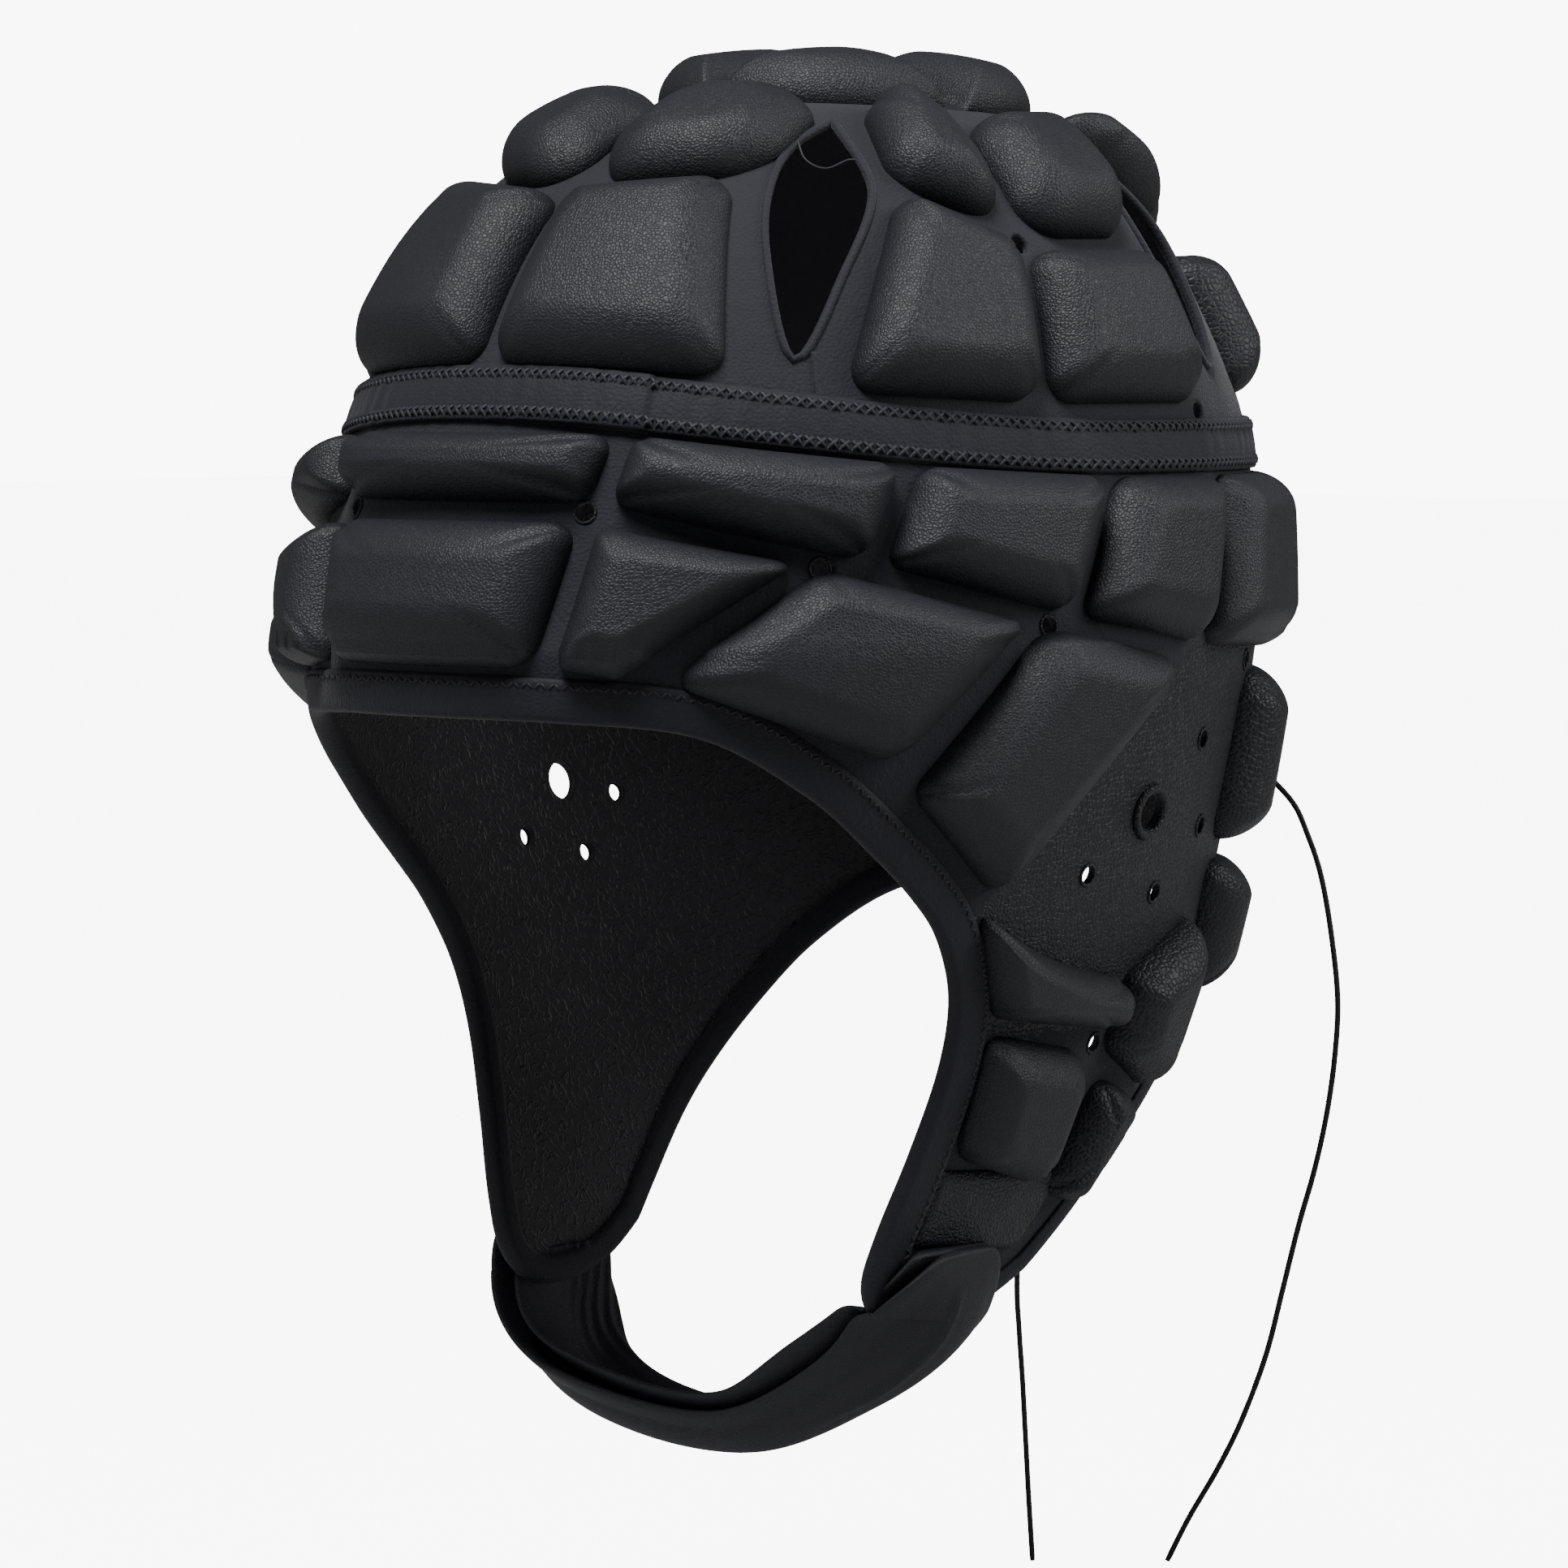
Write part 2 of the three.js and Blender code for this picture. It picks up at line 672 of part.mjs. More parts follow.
const cheekSlope = 0.3; // how fast the cheeks lean out upwards
const strapSteps = 20;
const strapTop = heightOf(-1) - 2; // the loop begins to turn just below the cheeks' ends
const strapFullness = { left: 1.42, right: 0.8 }; // below 1 the loop is squarer than an ellipse
const strapMiddle = { cheek: -12, chin: -17.5 }; // where the strap's middle line lies along Y
const tongueStart = -27; // the angle of the tongue's tip, above the loop
const tongueShare = 0.24; // share of the outer layer's length over which its end is rounded
const rearTilt = 0.6; // how far the rear half is turned up, as a share of the front one
const cheekTilt = 0.8; // the same for the strap where it leaves the left cheek
const tiltRamp = { from: 3, over: 28 }; // the angles over which it is turned up there

function strapFrame(angle) {
  const at = (b) => {
    const over = Math.max(-b, b - Math.PI, 0);
    const power = b < Math.PI / 2 ? strapFullness.left : strapFullness.right;
    const [sin, cos] = [powered(Math.max(Math.sin(b), 0), power), Math.cos(b)];
    const lean = 1 + (cheekSlope * over * strapDrop) / strapHalf;
    const x = over ? Math.sign(cos) * lean : powered(cos, power);
    const y = mix(strapMiddle.cheek, strapMiddle.chin, Math.max(Math.sin(b), 0));
    return new THREE.Vector3(x * strapHalf, y, strapTop + strapDrop * (over - sin));
  };
  const a = angle * rad;
  const along = at(a + 0.02).sub(at(a - 0.02)).normalize();
  const out = new THREE.Vector3(0, -1, 0).cross(along).normalize();
  const low = Math.max(Math.sin(a), 0);
  const ramp = smooth((angle - tiltRamp.from) / tiltRamp.over);
  const turned = angle < 90 ? mix(cheekTilt, 1, low) * ramp : low;
  return { centre: at(a), along, out, chin: low ** 2, tilt: strapTilt * rad * turned };
}

// A layer of the strap. Its widths to the rear and front are given at the left cheek, the
// chin and the right cheek, and its distance out from the strap's surface at both.

function strapLayer({ from, to, rear, front, lift, tongue = 1 }) {
  const along3 = ([left, chin, right], angle, share) =>
    angle < 90 ? mix(left, chin, share) : mix(right, chin, share);
  const at = (raised) => (s, t) => {
    const angle = mix(from, to, s);
    const f = strapFrame(angle);
    const round = mix(tongue, 1, slope(s / tongueShare));
    const half = t < 0.5 ? along3(rear, angle, f.chin) : along3(front, angle, f.chin);
    const reach = half * (2 * t - 1) * round;
    const tilt = f.tilt * (t < 0.5 ? rearTilt : 1) * Math.sign(t - 0.5);
    const across = new THREE.Vector3(0, -Math.cos(tilt), 0).addScaledVector(f.out, -Math.sin(tilt));
    const out = across.clone().cross(f.along).normalize();
    const h = mix(lift.cheek, lift.chin, f.chin) + (raised ? strapThickness : 0);
    return f.centre.clone().addScaledVector(across, reach).addScaledVector(out, h);
  };
  return slab(steps(strapSteps), [0, 0.5, 1], at(true), at(false));
}

// Lace crossing between two rows of eyelets at the back, and its two free ends

const laceLevels = [-0.1, -0.16, -0.22, -0.28];
const laceLift = 1.3;
const laceSides = 6;

function tube(points, diameter, sides, count) {
  const curve = new THREE.CatmullRomCurve3(points);
  const { normals, binormals } = curve.computeFrenetFrames(count);
  const circle = steps(sides).slice(0, -1).map((s) => 2 * Math.PI * s);
  const rings = steps(count).map((share, i) =>
    circle.map((a) => {
      const p = curve.getPointAt(share);
      p.addScaledVector(normals[i], (Math.cos(a) * diameter) / 2);
      return p.addScaledVector(binormals[i], (Math.sin(a) * diameter) / 2);
    }),
  );
  return bar(rings);
}

// Each half of the lacing goes from the middle of the top row from side to side downwards.

function laceHalf(side) {
  const at = (x, level) => {
    const p = byLevel(180, level);
    return new THREE.Vector3(side * x, p.y + laceLift, p.z);
  };
  const eyelets = laceLevels.map((level, i) => at((i % 2 ? -1 : 1) * eyeletSpread, level));
  return tube([at(0, laceLevels[0]), ...eyelets], laceDiameter, laceSides, 10);
}
const backLace = () => toManifold(laceHalf(1)).add(toManifold(laceHalf(-1)));

// The free ends hang as chosen, from just beside the lowest eyelets.

const leftLace = [
  [10.6, 95.9, -136.2],
  [12.2, 101, -136],
  [14.5, 107, -134.5],
  [18.5, 113, -132.5],
  [25, 117.5, -131.8],
  [33.4, 119.5, -138.5],
  [37.5, 120, -145.8],
  [40.8, 120, -153.9],
  [43.7, 119.5, -165.3],
  [46.1, 118.5, -178.3],
  [46.2, 117.5, -189.8],
  [45.4, 116, -201.3],
  [43.5, 114.5, -212.9],
  [41, 112.5, -224.5],
  [38.5, 110.5, -237.8],
  [35.9, 108.5, -251.1],
  [31.7, 106, -264.6],
  [27.5, 103.5, -274.8],
  [22.2, 101, -285.1],
  [18.2, 99, -294.2],
];
const rightLace = [
  [-10.6, 95.9, -136.2],
  [-12, 101, -136.6],
  [-14, 106, -137.5],
  [-17, 110, -140.5],
  [-20, 112, -146],
  [-22.5, 112.3, -154],
  [-24.3, 111.7, -163],
  [-25.6, 111, -173],
  [-26.5, 110.3, -184],
  [-27, 109.6, -195],
  [-27.1, 109, -206],
  [-27, 108.4, -217],
  [-27.8, 108, -241.4],
  [-27.2, 108, -252.5],
  [-26.3, 108, -262.7],
  [-25.4, 108, -275.5],
  [-24.5, 108, -288.3],
  [-23.5, 108, -300.8],
];
const laceSteps = 22;

// Assembly

const group = new THREE.Group();

function add(name, geometry, colour, roughness) {
  const material = new THREE.MeshStandardMaterial({ color: colour, roughness, metalness: 0 });
  const mesh = new THREE.Mesh(geometry, material);
  mesh.name = name;
  group.add(mesh);
}

const leather = { colour: 0x26272c, roughness: 0.6 };
const cloth = { colour: 0x2d2e34, roughness: 0.85 };
const tape = { colour: 0x2b2c36, roughness: 0.7 };
const cord = { colour: 0x17181b, roughness: 0.5 };

add("crown_panel", toGeometry(crownPanel()), cloth.colour, cloth.roughness);
add("lower_panel", toGeometry(lowerPanel()), cloth.colour, cloth.roughness);
add("seam_tape", seamTape(), tape.colour, tape.roughness);
add("edge_binding", edgeBinding(), tape.colour, tape.roughness);

const onCrown = (cells) =>
  Object.entries(cells).map(([name, cell]) => [name, { ...cell, falls: true }]);
for (const [name, cell] of [...onCrown(crownCells), ...Object.entries(sideCells)]) {
  add(`${name}_pad_left`, padSolid(cell), leather.colour, leather.roughness);
  add(`${name}_pad_right`, padSolid(cell, -1), leather.colour, leather.roughness);
}
for (const [name, cell] of [...onCrown(crownMiddle), ...Object.entries(middleCells)])
  add(`${name}_pad`, padSolid(cell), leather.colour, leather.roughness);
add("top_pads", topPads(), leather.colour, leather.roughness);

const halfStrap = strapWidth / 2;
const overBinding = 2 * clearance + bindingThickness;
const layers = {
  chin_strap_inner: {
    from: 14,
    to: 172,
    rear: [halfStrap - 6, halfStrap - 5.5, halfStrap - 5.5],
    front: [halfStrap + 4, halfStrap - 3, halfStrap + 2.5],
    lift: { cheek: -strapThickness, chin: -strapThickness },
  },
  chin_strap_outer: {
    from: tongueStart,
    to: 183,
    rear: [halfStrap - 6.5, halfStrap - 5.5, halfStrap - 5.5],
    front: [halfStrap + 4 - strapLip, halfStrap - 4.5, halfStrap + 1.5],
    lift: { cheek: overBinding, chin: clearance },
    tongue: 0.5,
  },
};
for (const [name, layer] of Object.entries(layers))
  add(name, strapLayer(layer), tape.colour, tape.roughness);

const toVectors = (rows) => rows.map(([x, y, z]) => new THREE.Vector3(x, y, z));
add("back_lace", toGeometry(backLace()), cord.colour, cord.roughness);
for (const [side, points] of [["left", leftLace], ["right", rightLace]]) {
  const lace = tube(toVectors(points), laceDiameter, laceSides, laceSteps);
  add(`lace_end_${side}`, lace, cord.colour, cord.roughness);
}

export default group;
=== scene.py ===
# %% [markdown]
# # A padded goalkeeper headgear
# The real cap is soft: foam cells are moulded between two cloths, cut into two panels, sewn
# together under a tape and edged with a folded binding. A chin strap and two lace ends hang
# below it. This lesson dresses the measured solids with finer surfaces, each one worked out
# from a formula on a grid of two parameters.

import bmesh
import bpy
import numpy as np
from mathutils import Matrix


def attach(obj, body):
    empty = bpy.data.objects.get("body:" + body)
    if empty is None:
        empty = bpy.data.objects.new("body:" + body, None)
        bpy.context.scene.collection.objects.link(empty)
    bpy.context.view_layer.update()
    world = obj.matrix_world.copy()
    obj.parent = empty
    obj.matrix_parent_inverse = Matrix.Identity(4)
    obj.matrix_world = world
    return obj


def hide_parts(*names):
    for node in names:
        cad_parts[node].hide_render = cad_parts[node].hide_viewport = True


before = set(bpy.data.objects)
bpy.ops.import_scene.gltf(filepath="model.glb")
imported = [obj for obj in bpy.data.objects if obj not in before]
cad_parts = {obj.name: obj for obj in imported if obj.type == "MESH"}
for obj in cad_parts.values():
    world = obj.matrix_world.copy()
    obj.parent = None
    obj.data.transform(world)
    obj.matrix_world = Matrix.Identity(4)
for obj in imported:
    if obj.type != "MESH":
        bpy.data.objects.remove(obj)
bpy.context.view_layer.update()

# %% [markdown]
# ## The camera
# The photograph looks at the wearer's left front, almost level with the cheeks. A long lens
# from a little over a metre gives the same faint perspective.

# %% Camera
AZIMUTH, ELEVATION = np.radians(40), np.radians(4)
TARGET = np.array([-0.001, 0, -0.1305])
DISTANCE = 1.2
PICTURE_WIDTH = 0.301875  # metres across at the target
SENSOR = 36  # millimetres


def aim(thing, azimuth, elevation, distance):
    """Stands a camera or a light at a distance from the target and turns it to look there;
    the azimuth goes round from the face towards the wearer's left."""
    level = np.cos(elevation)
    way = np.array([np.sin(azimuth) * level, -np.cos(azimuth) * level, np.sin(elevation)])
    thing.location = TARGET + distance * way
    thing.rotation_euler = (np.pi / 2 - elevation, 0, azimuth)
    bpy.context.scene.collection.objects.link(thing)


camera = bpy.data.objects.new("camera", bpy.data.cameras.new("camera"))
camera.data.sensor_width = SENSOR
camera.data.lens = SENSOR * DISTANCE / PICTURE_WIDTH
aim(camera, AZIMUTH, ELEVATION, DISTANCE)
bpy.context.scene.camera = camera
print("lens", round(camera.data.lens, 1), "mm at", np.round(camera.location, 3))

# %% [markdown]
# ## From arrays to meshes
# The pieces could be modelled by hand, but soft, crowded forms are easier to keep in
# agreement by formulas. Every new piece is a grid of points, so a few helpers are enough.
# One numbers the quads of a grid, one repeats them for copies, and one puts points and
# faces into an object, in metres, with its faces outwards.

# %% Mesh helpers
MM = 0.001


def grid_faces(rows, columns, round_rows=False, round_columns=False):
    """Quads of a grid whose point (j, i) is number j times columns plus i."""
    j, i = np.meshgrid(
        np.arange(rows if round_rows else rows - 1),
        np.arange(columns if round_columns else columns - 1),
        indexing="ij",
    )
    below, beside = (j + 1) % rows, (i + 1) % columns
    corners = [j * columns + i, j * columns + beside, below * columns + beside, below * columns + i]
    return np.stack(corners, -1).reshape(-1, 4)


def repeat_faces(faces, step, count):
    """The same faces once for each of count copies, whose points follow each other in
    steps."""
    return (np.asarray(faces)[None] + step * np.arange(count)[:, None, None]).reshape(-1, 4)


def make_piece(name, points, faces, materials, face_slots=None, closed=True):
    """An object from points in millimetres and quads. A closed one whose signed volume, the
    sum of corner triple products, comes out negative has its faces turned round."""
    points = np.asarray(points, float).reshape(-1, 3)
    faces = np.asarray(faces)
    if closed:
        a, b, c, d = (points[faces[:, k]] for k in range(4))
        volume = (a * np.cross(b, c)).sum() + (a * np.cross(c, d)).sum()
        if volume < 0:
            faces = faces[:, ::-1]
    mesh = bpy.data.meshes.new(name)
    mesh.from_pydata(points * MM, [], faces.tolist())
    for material in materials:
        mesh.materials.append(material)
    if face_slots is not None:
        mesh.polygons.foreach_set("material_index", np.asarray(face_slots, np.int32))
    mesh.polygons.foreach_set("use_smooth", np.ones(len(faces), bool))
    mesh.update()
    piece = bpy.data.objects.new(name, mesh)
    bpy.context.scene.collection.objects.link(piece)
    return piece


def dress(piece, slot, *nodes):
    """The piece rides on the part and stands for the named solids."""
    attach(piece, "root")
    if nodes:
        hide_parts(*nodes)
    return piece


def weld(piece, distance=0.02):
    """Merges points closer than the distance in millimetres, as at a dome's pole."""
    bm = bmesh.new()
    bm.from_mesh(piece.data)
    bmesh.ops.remove_doubles(bm, verts=bm.verts, dist=distance * MM)
    bmesh.ops.recalc_face_normals(bm, faces=bm.faces)
    bm.to_mesh(piece.data)
    bm.free()


print("a grid of 3 by 4 points has", len(grid_faces(3, 4)), "quads")

# %% [markdown]
# ## Reliefs and dye
# All of the cap is near black, so its finishes differ in how they scatter light. The pads
# and the strap have a fine pebbled grain, coarser on the rear pads and round the ears. The
# channels, tape, thread and lace have a close weave, and the lining has winding marks of
# short flock. Photographs of cloth would repeat, so each relief is worked out from noise and
# cells. Grain, weave and dye serve several finishes, so they are node groups with a scale
# of their own, and the flock is made in the same way to fit them.

# %% Node helpers
def link(tree, source, target):
    """Joins an output socket to an input socket."""
    tree.links.new(source, target)


def new_group(name, scale, outputs=(("Height", "NodeSocketFloat"),), colours=()):
    """An empty node group that takes a Vector, a Scale and named colours; gives the group
    and its input and output nodes."""
    group = bpy.data.node_groups.new(name, "ShaderNodeTree")
    inputs = [("Vector", "NodeSocketVector", (0, 0, 0)), ("Scale", "NodeSocketFloat", scale)]
    inputs += [(label, "NodeSocketColor", colour) for label, colour in colours]
    for label, kind, default in inputs:
        socket = group.interface.new_socket(label, in_out="INPUT", socket_type=kind)
        socket.default_value = default
    for label, kind in outputs:
        group.interface.new_socket(label, in_out="OUTPUT", socket_type=kind)
    return group, group.nodes.new("NodeGroupInput"), group.nodes.new("NodeGroupOutput")


def math_node(tree, operation, a, b=None, clamp=False):
    """A Math node whose inputs are sockets or numbers; gives its output."""
    node = tree.nodes.new("ShaderNodeMath")
    node.operation = operation
    node.use_clamp = clamp
    for socket, value in zip(node.inputs, (a, b)):
        if value is None:
            continue
        if isinstance(value, bpy.types.NodeSocket):
            link(tree, value, socket)
        else:
            socket.default_value = value
    return node.outputs[0]


def pattern(group, given, kind, factor, **settings):
    """A texture node on the group's Vector, at the group's Scale times a factor."""
    node = group.nodes.new(f"ShaderNodeTex{kind}")
    for label, value in settings.items():
        node.inputs[label].default_value = value
    link(group, given.outputs["Vector"], node.inputs["Vector"])
    scale = math_node(group, "MULTIPLY", given.outputs["Scale"], factor)
    link(group, scale, node.inputs["Scale"])
    return node


def weighted(tree, *terms):
    """The sum of sockets, each times its weight."""
    total = None
    for socket, weight in terms:
        term = math_node(tree, "MULTIPLY", socket, weight)
        total = term if total is None else math_node(tree, "ADD", total, term)
    return total


print("a group takes a Vector and a Scale, and gives a Height or a Color and Wear")

# %% Grain, weave, flock and dye groups
def grain_group():
    """Pebbles: height is 3 times the distance to the cell's border, at most 1, to the power
    0.6, plus 0.8 of a soft noise."""
    group, given, result = new_group("pebbled_grain", 1100.0)
    cells = pattern(group, given, "Voronoi", 1.0, Randomness=0.9)
    cells.feature = "DISTANCE_TO_EDGE"
    uneven = pattern(group, given, "Noise", 0.35, Detail=3)
    raised = math_node(group, "MULTIPLY", cells.outputs["Distance"], 3.0, clamp=True)
    rounded = math_node(group, "POWER", raised, 0.6)
    height = weighted(group, (rounded, 1.0), (uneven.outputs["Fac"], 0.8))
    link(group, height, result.inputs["Height"])
    return group


def weave_group():
    """A close knit of small round bumps: height is 1 less the distance to the cell's middle,
    plus 0.7 of a fine noise as fray and 2.5 of a slow one as unevenness."""
    group, given, result = new_group("close_weave", 900.0)
    bumps = pattern(group, given, "Voronoi", 1.0, Randomness=0.75)
    fray = pattern(group, given, "Noise", 0.9)
    slow = pattern(group, given, "Noise", 0.08)
    raised = math_node(group, "SUBTRACT", 1.0, bumps.outputs["Distance"])
    height = weighted(group, (raised, 1.0), (fray.outputs["Fac"], 0.7), (slow.outputs["Fac"], 2.5))
    link(group, height, result.inputs["Height"])
    return group


def flock_group():
    """Short winding marks: height is 1 where a soft noise passes its middle value and falls
    by 16 times the difference to both sides, so the marks wind as the noise's level lines."""
    group, given, result = new_group("winding_flock", 400.0)
    noise = pattern(group, given, "Noise", 1.0, Detail=0.6)
    aside = math_node(group, "ABSOLUTE", math_node(group, "SUBTRACT", noise.outputs["Fac"], 0.5))
    mark = math_node(group, "SUBTRACT", 1.0, math_node(group, "MULTIPLY", aside, 16.0), clamp=True)
    link(group, mark, result.inputs["Height"])
    return group


def dye_group():
    """Uneven dye and rubbing: mixes two close colours by 0.65 of a broad noise and 0.35 of
    a fine one, and gives the same mixture as Wear."""
    outputs = [("Color", "NodeSocketColor"), ("Wear", "NodeSocketFloat")]
    colours = [("Dark", (0.01, 0.01, 0.012, 1)), ("Light", (0.03, 0.03, 0.036, 1))]
    group, given, result = new_group("uneven_dye", 30.0, outputs, colours)
    broad = pattern(group, given, "Noise", 1.0, Detail=5)
    fine = pattern(group, given, "Noise", 22.0, Detail=2)
    both = weighted(group, (broad.outputs["Fac"], 0.65), (fine.outputs["Fac"], 0.35))
    mixer = group.nodes.new("ShaderNodeMix")
    mixer.data_type = "RGBA"
    link(group, both, mixer.inputs["Factor"])
    link(group, given.outputs["Dark"], mixer.inputs["A"])
    link(group, given.outputs["Light"], mixer.inputs["B"])
    link(group, mixer.outputs["Result"], result.inputs["Color"])
    link(group, both, result.inputs["Wear"])
    return group


GRAIN, WEAVE, DYE, FLOCK = grain_group(), weave_group(), dye_group(), flock_group()
print("groups:", [g.name for g in (GRAIN, WEAVE, DYE, FLOCK)])

# %% [markdown]
# ## Finishes
# A finish is dyed cloth or leather: two close colours, a range of roughness that follows the
# wear, and one of the reliefs as a bump. Object coordinates keep the grain the same size on
# every piece. One function makes them all, and the colours, scales and depths differ.

# %% A finish from a relief group and the dye group
def finish(name, dark, light, relief, scale, depth, roughness, specular=0.4, sheen=0.0):
    """A material: dyed colour, roughness that follows the wear, and a relief as bump."""
    material = bpy.data.materials.new(name)
    material.use_nodes = True
    tree = material.node_tree
    shader = tree.nodes["Principled BSDF"]
    place = tree.nodes.new("ShaderNodeTexCoord").outputs["Object"]
    dye = tree.nodes.new("ShaderNodeGroup")
    dye.node_tree = DYE
    dye.inputs["Dark"].default_value = (*dark, 1)
    dye.inputs["Light"].default_value = (*light, 1)
    link(tree, place, dye.inputs["Vector"])
    link(tree, dye.outputs["Color"], shader.inputs["Base Color"])
    low, high = roughness
    rough = math_node(tree, "MULTIPLY", dye.outputs["Wear"], high - low)
    link(tree, math_node(tree, "ADD", rough, low), shader.inputs["Roughness"])
    skin = tree.nodes.new("ShaderNodeGroup")
    skin.node_tree = relief
    skin.inputs["Scale"].default_value = scale
    link(tree, place, skin.inputs["Vector"])
    bump = tree.nodes.new("ShaderNodeBump")
    bump.inputs["Strength"].default_value = 1.0
    bump.inputs["Distance"].default_value = depth * MM
    link(tree, skin.outputs["Height"], bump.inputs["Height"])
    link(tree, bump.outputs["Normal"], shader.inputs["Normal"])
    shader.inputs["Specular IOR Level"].default_value = specular
    shader.inputs["Sheen Weight"].default_value = sheen
    shader.inputs["Sheen Roughness"].default_value = 0.4
    return material


PAD_LEATHER = finish(
    "pad_leather", (0.0038, 0.0042, 0.0062), (0.0092, 0.0100, 0.0146),
    GRAIN, scale=1500, depth=0.08, roughness=(0.44, 0.62), specular=0.3,
)
COARSE_LEATHER = finish(
    "coarse_leather", (0.0030, 0.0033, 0.0050), (0.0084, 0.0090, 0.0132),
    GRAIN, scale=900, depth=0.13, roughness=(0.42, 0.6), specular=0.28,
)
EAR_LEATHER = finish(
    "ear_leather", (0.0028, 0.0031, 0.0046), (0.0076, 0.0082, 0.0120),
    GRAIN, scale=1000, depth=0.2, roughness=(0.44, 0.6), specular=0.3,
)
CLOTH = finish(
    "channel_cloth", (0.0068, 0.0072, 0.0102), (0.0185, 0.0195, 0.0265),
    WEAVE, scale=1500, depth=0.12, roughness=(0.7, 0.88), specular=0.2, sheen=0.08,
)
TAPE = finish(
    "woven_tape", (0.0045, 0.0045, 0.0075), (0.0125, 0.0125, 0.0195),
    WEAVE, scale=1300, depth=0.1, roughness=(0.62, 0.8), specular=0.22, sheen=0.06,
)
STRAP_SKIN = finish(
    "strap_skin", (0.0042, 0.0043, 0.0068), (0.0105, 0.0107, 0.0165),
    GRAIN, scale=1700, depth=0.06, roughness=(0.5, 0.66), specular=0.26,
)
CROWN_LINING = finish(
    "crown_lining", (0.032, 0.030, 0.042), (0.046, 0.043, 0.060),
    WEAVE, scale=2400, depth=0.03, roughness=(0.7, 0.85), specular=0.15,
)
LINING = finish(
    "flocked_lining", (0.012, 0.012, 0.014), (0.034, 0.0335, 0.0385),
    FLOCK, scale=520, depth=0.34, roughness=(0.7, 0.9), specular=0.3, sheen=0.15,
)
THREAD = finish(
    "sewing_thread", (0.0055, 0.0055, 0.0085), (0.015, 0.015, 0.0225),
    WEAVE, scale=2500, depth=0.03, roughness=(0.5, 0.7), specular=0.3,
)
LACE = finish(
    "round_lace", (0.003, 0.003, 0.004), (0.008, 0.008, 0.01),
    WEAVE, scale=2200, depth=0.08, roughness=(0.55, 0.75), specular=0.25,
)
print("finishes:", len(bpy.data.materials))

# %% [markdown]
# ## Curves and tubes
# Laces, seams and the loose thread are round cords along a smooth curve. A bevelled curve
# object would look the same, but arrays give the length and the points.

# %% Curves and tubes
def smooth_line(points, count):
    """A curve through points: a cubic whose slope at each is half the step over its
    neighbours, sampled at count even steps of its length."""
    p = np.asarray(points, float)
    q = np.concatenate([2 * p[:1] - p[1:2], p, 2 * p[-1:] - p[-2:-1]])
    spans = len(q) - 3
    at = np.linspace(0, spans, 24 * spans + 1)
    k = np.minimum(at.astype(int), spans - 1)
    t = (at - k)[:, None]
    a, b, c, d = (q[k + n] for n in range(4))
    line = b + 0.5 * t * (c - a + t * (2 * a - 5 * b + 4 * c - d + t * (3 * (b - c) + d - a)))
    run = np.concatenate([[0], np.cumsum(np.linalg.norm(np.diff(line, axis=0), axis=1))])
    even = np.linspace(0, run[-1], count)
    return np.stack([np.interp(even, run, line[:, n]) for n in range(line.shape[1])], -1)


def length_of(line):
    """The sum of the steps between a line's points."""
    return np.linalg.norm(np.diff(line, axis=0), axis=1).sum()


def unit(v):
    """Vectors divided by their lengths."""
    return v / np.maximum(np.linalg.norm(v, axis=-1, keepdims=True), 1e-12)


ASKEW = [0.31, 0.17, 0.93]
TIP, NEXT_TO_TIP = 0.02, 0.85


def tube_points(line, radius, sides=12):
    """Circles of the radius, square to the line: their two directions are the products of
    the line's direction with one askew vector and with the first product. The end circles
    shrink almost to a point, so the ends are closed."""
    along = unit(np.gradient(line, axis=0))
    level = unit(np.cross(along, ASKEW))
    other = np.cross(along, level)
    turn = np.linspace(0, 2 * np.pi, sides, endpoint=False)[None, :, None]
    ring = level[:, None] * np.cos(turn) + other[:, None] * np.sin(turn)
    size = np.full(len(line), radius)
    size[[0, -1]] = TIP * radius
    size[[1, -2]] = NEXT_TO_TIP * radius
    return line[:, None] + ring * size[:, None, None]


def end_runs(line, radius):
    """The line with its first and last points doubled a tenth of the radius apart, for a
    short rounded end."""
    first, last = unit(line[1] - line[0]), unit(line[-1] - line[-2])
    start = [line[0], line[0] + 0.1 * radius * first]
    stop = [line[-1] - 0.1 * radius * last, line[-1]]
    return np.concatenate([start, line[1:-1], stop])


def tube_piece(name, line, radius, material, sides=12):
    """A closed round tube along an open line, as one object."""
    points = tube_points(end_runs(line, radius), radius, sides)
    return make_piece(name, points, grid_faces(*points.shape[:2], round_columns=True), [material])


print("a line from (0, 0) to (3, 4) measures", length_of(np.array([(0, 0), (3, 4)])))

# %% [markdown]
# ## The two lace ends
# They hang free from the lowest eyelets at the back, for as long as the photograph shows
# them, and end in blunt cuts. They could be simulated, but their curve is known, so each is
# a tube along a table of places.

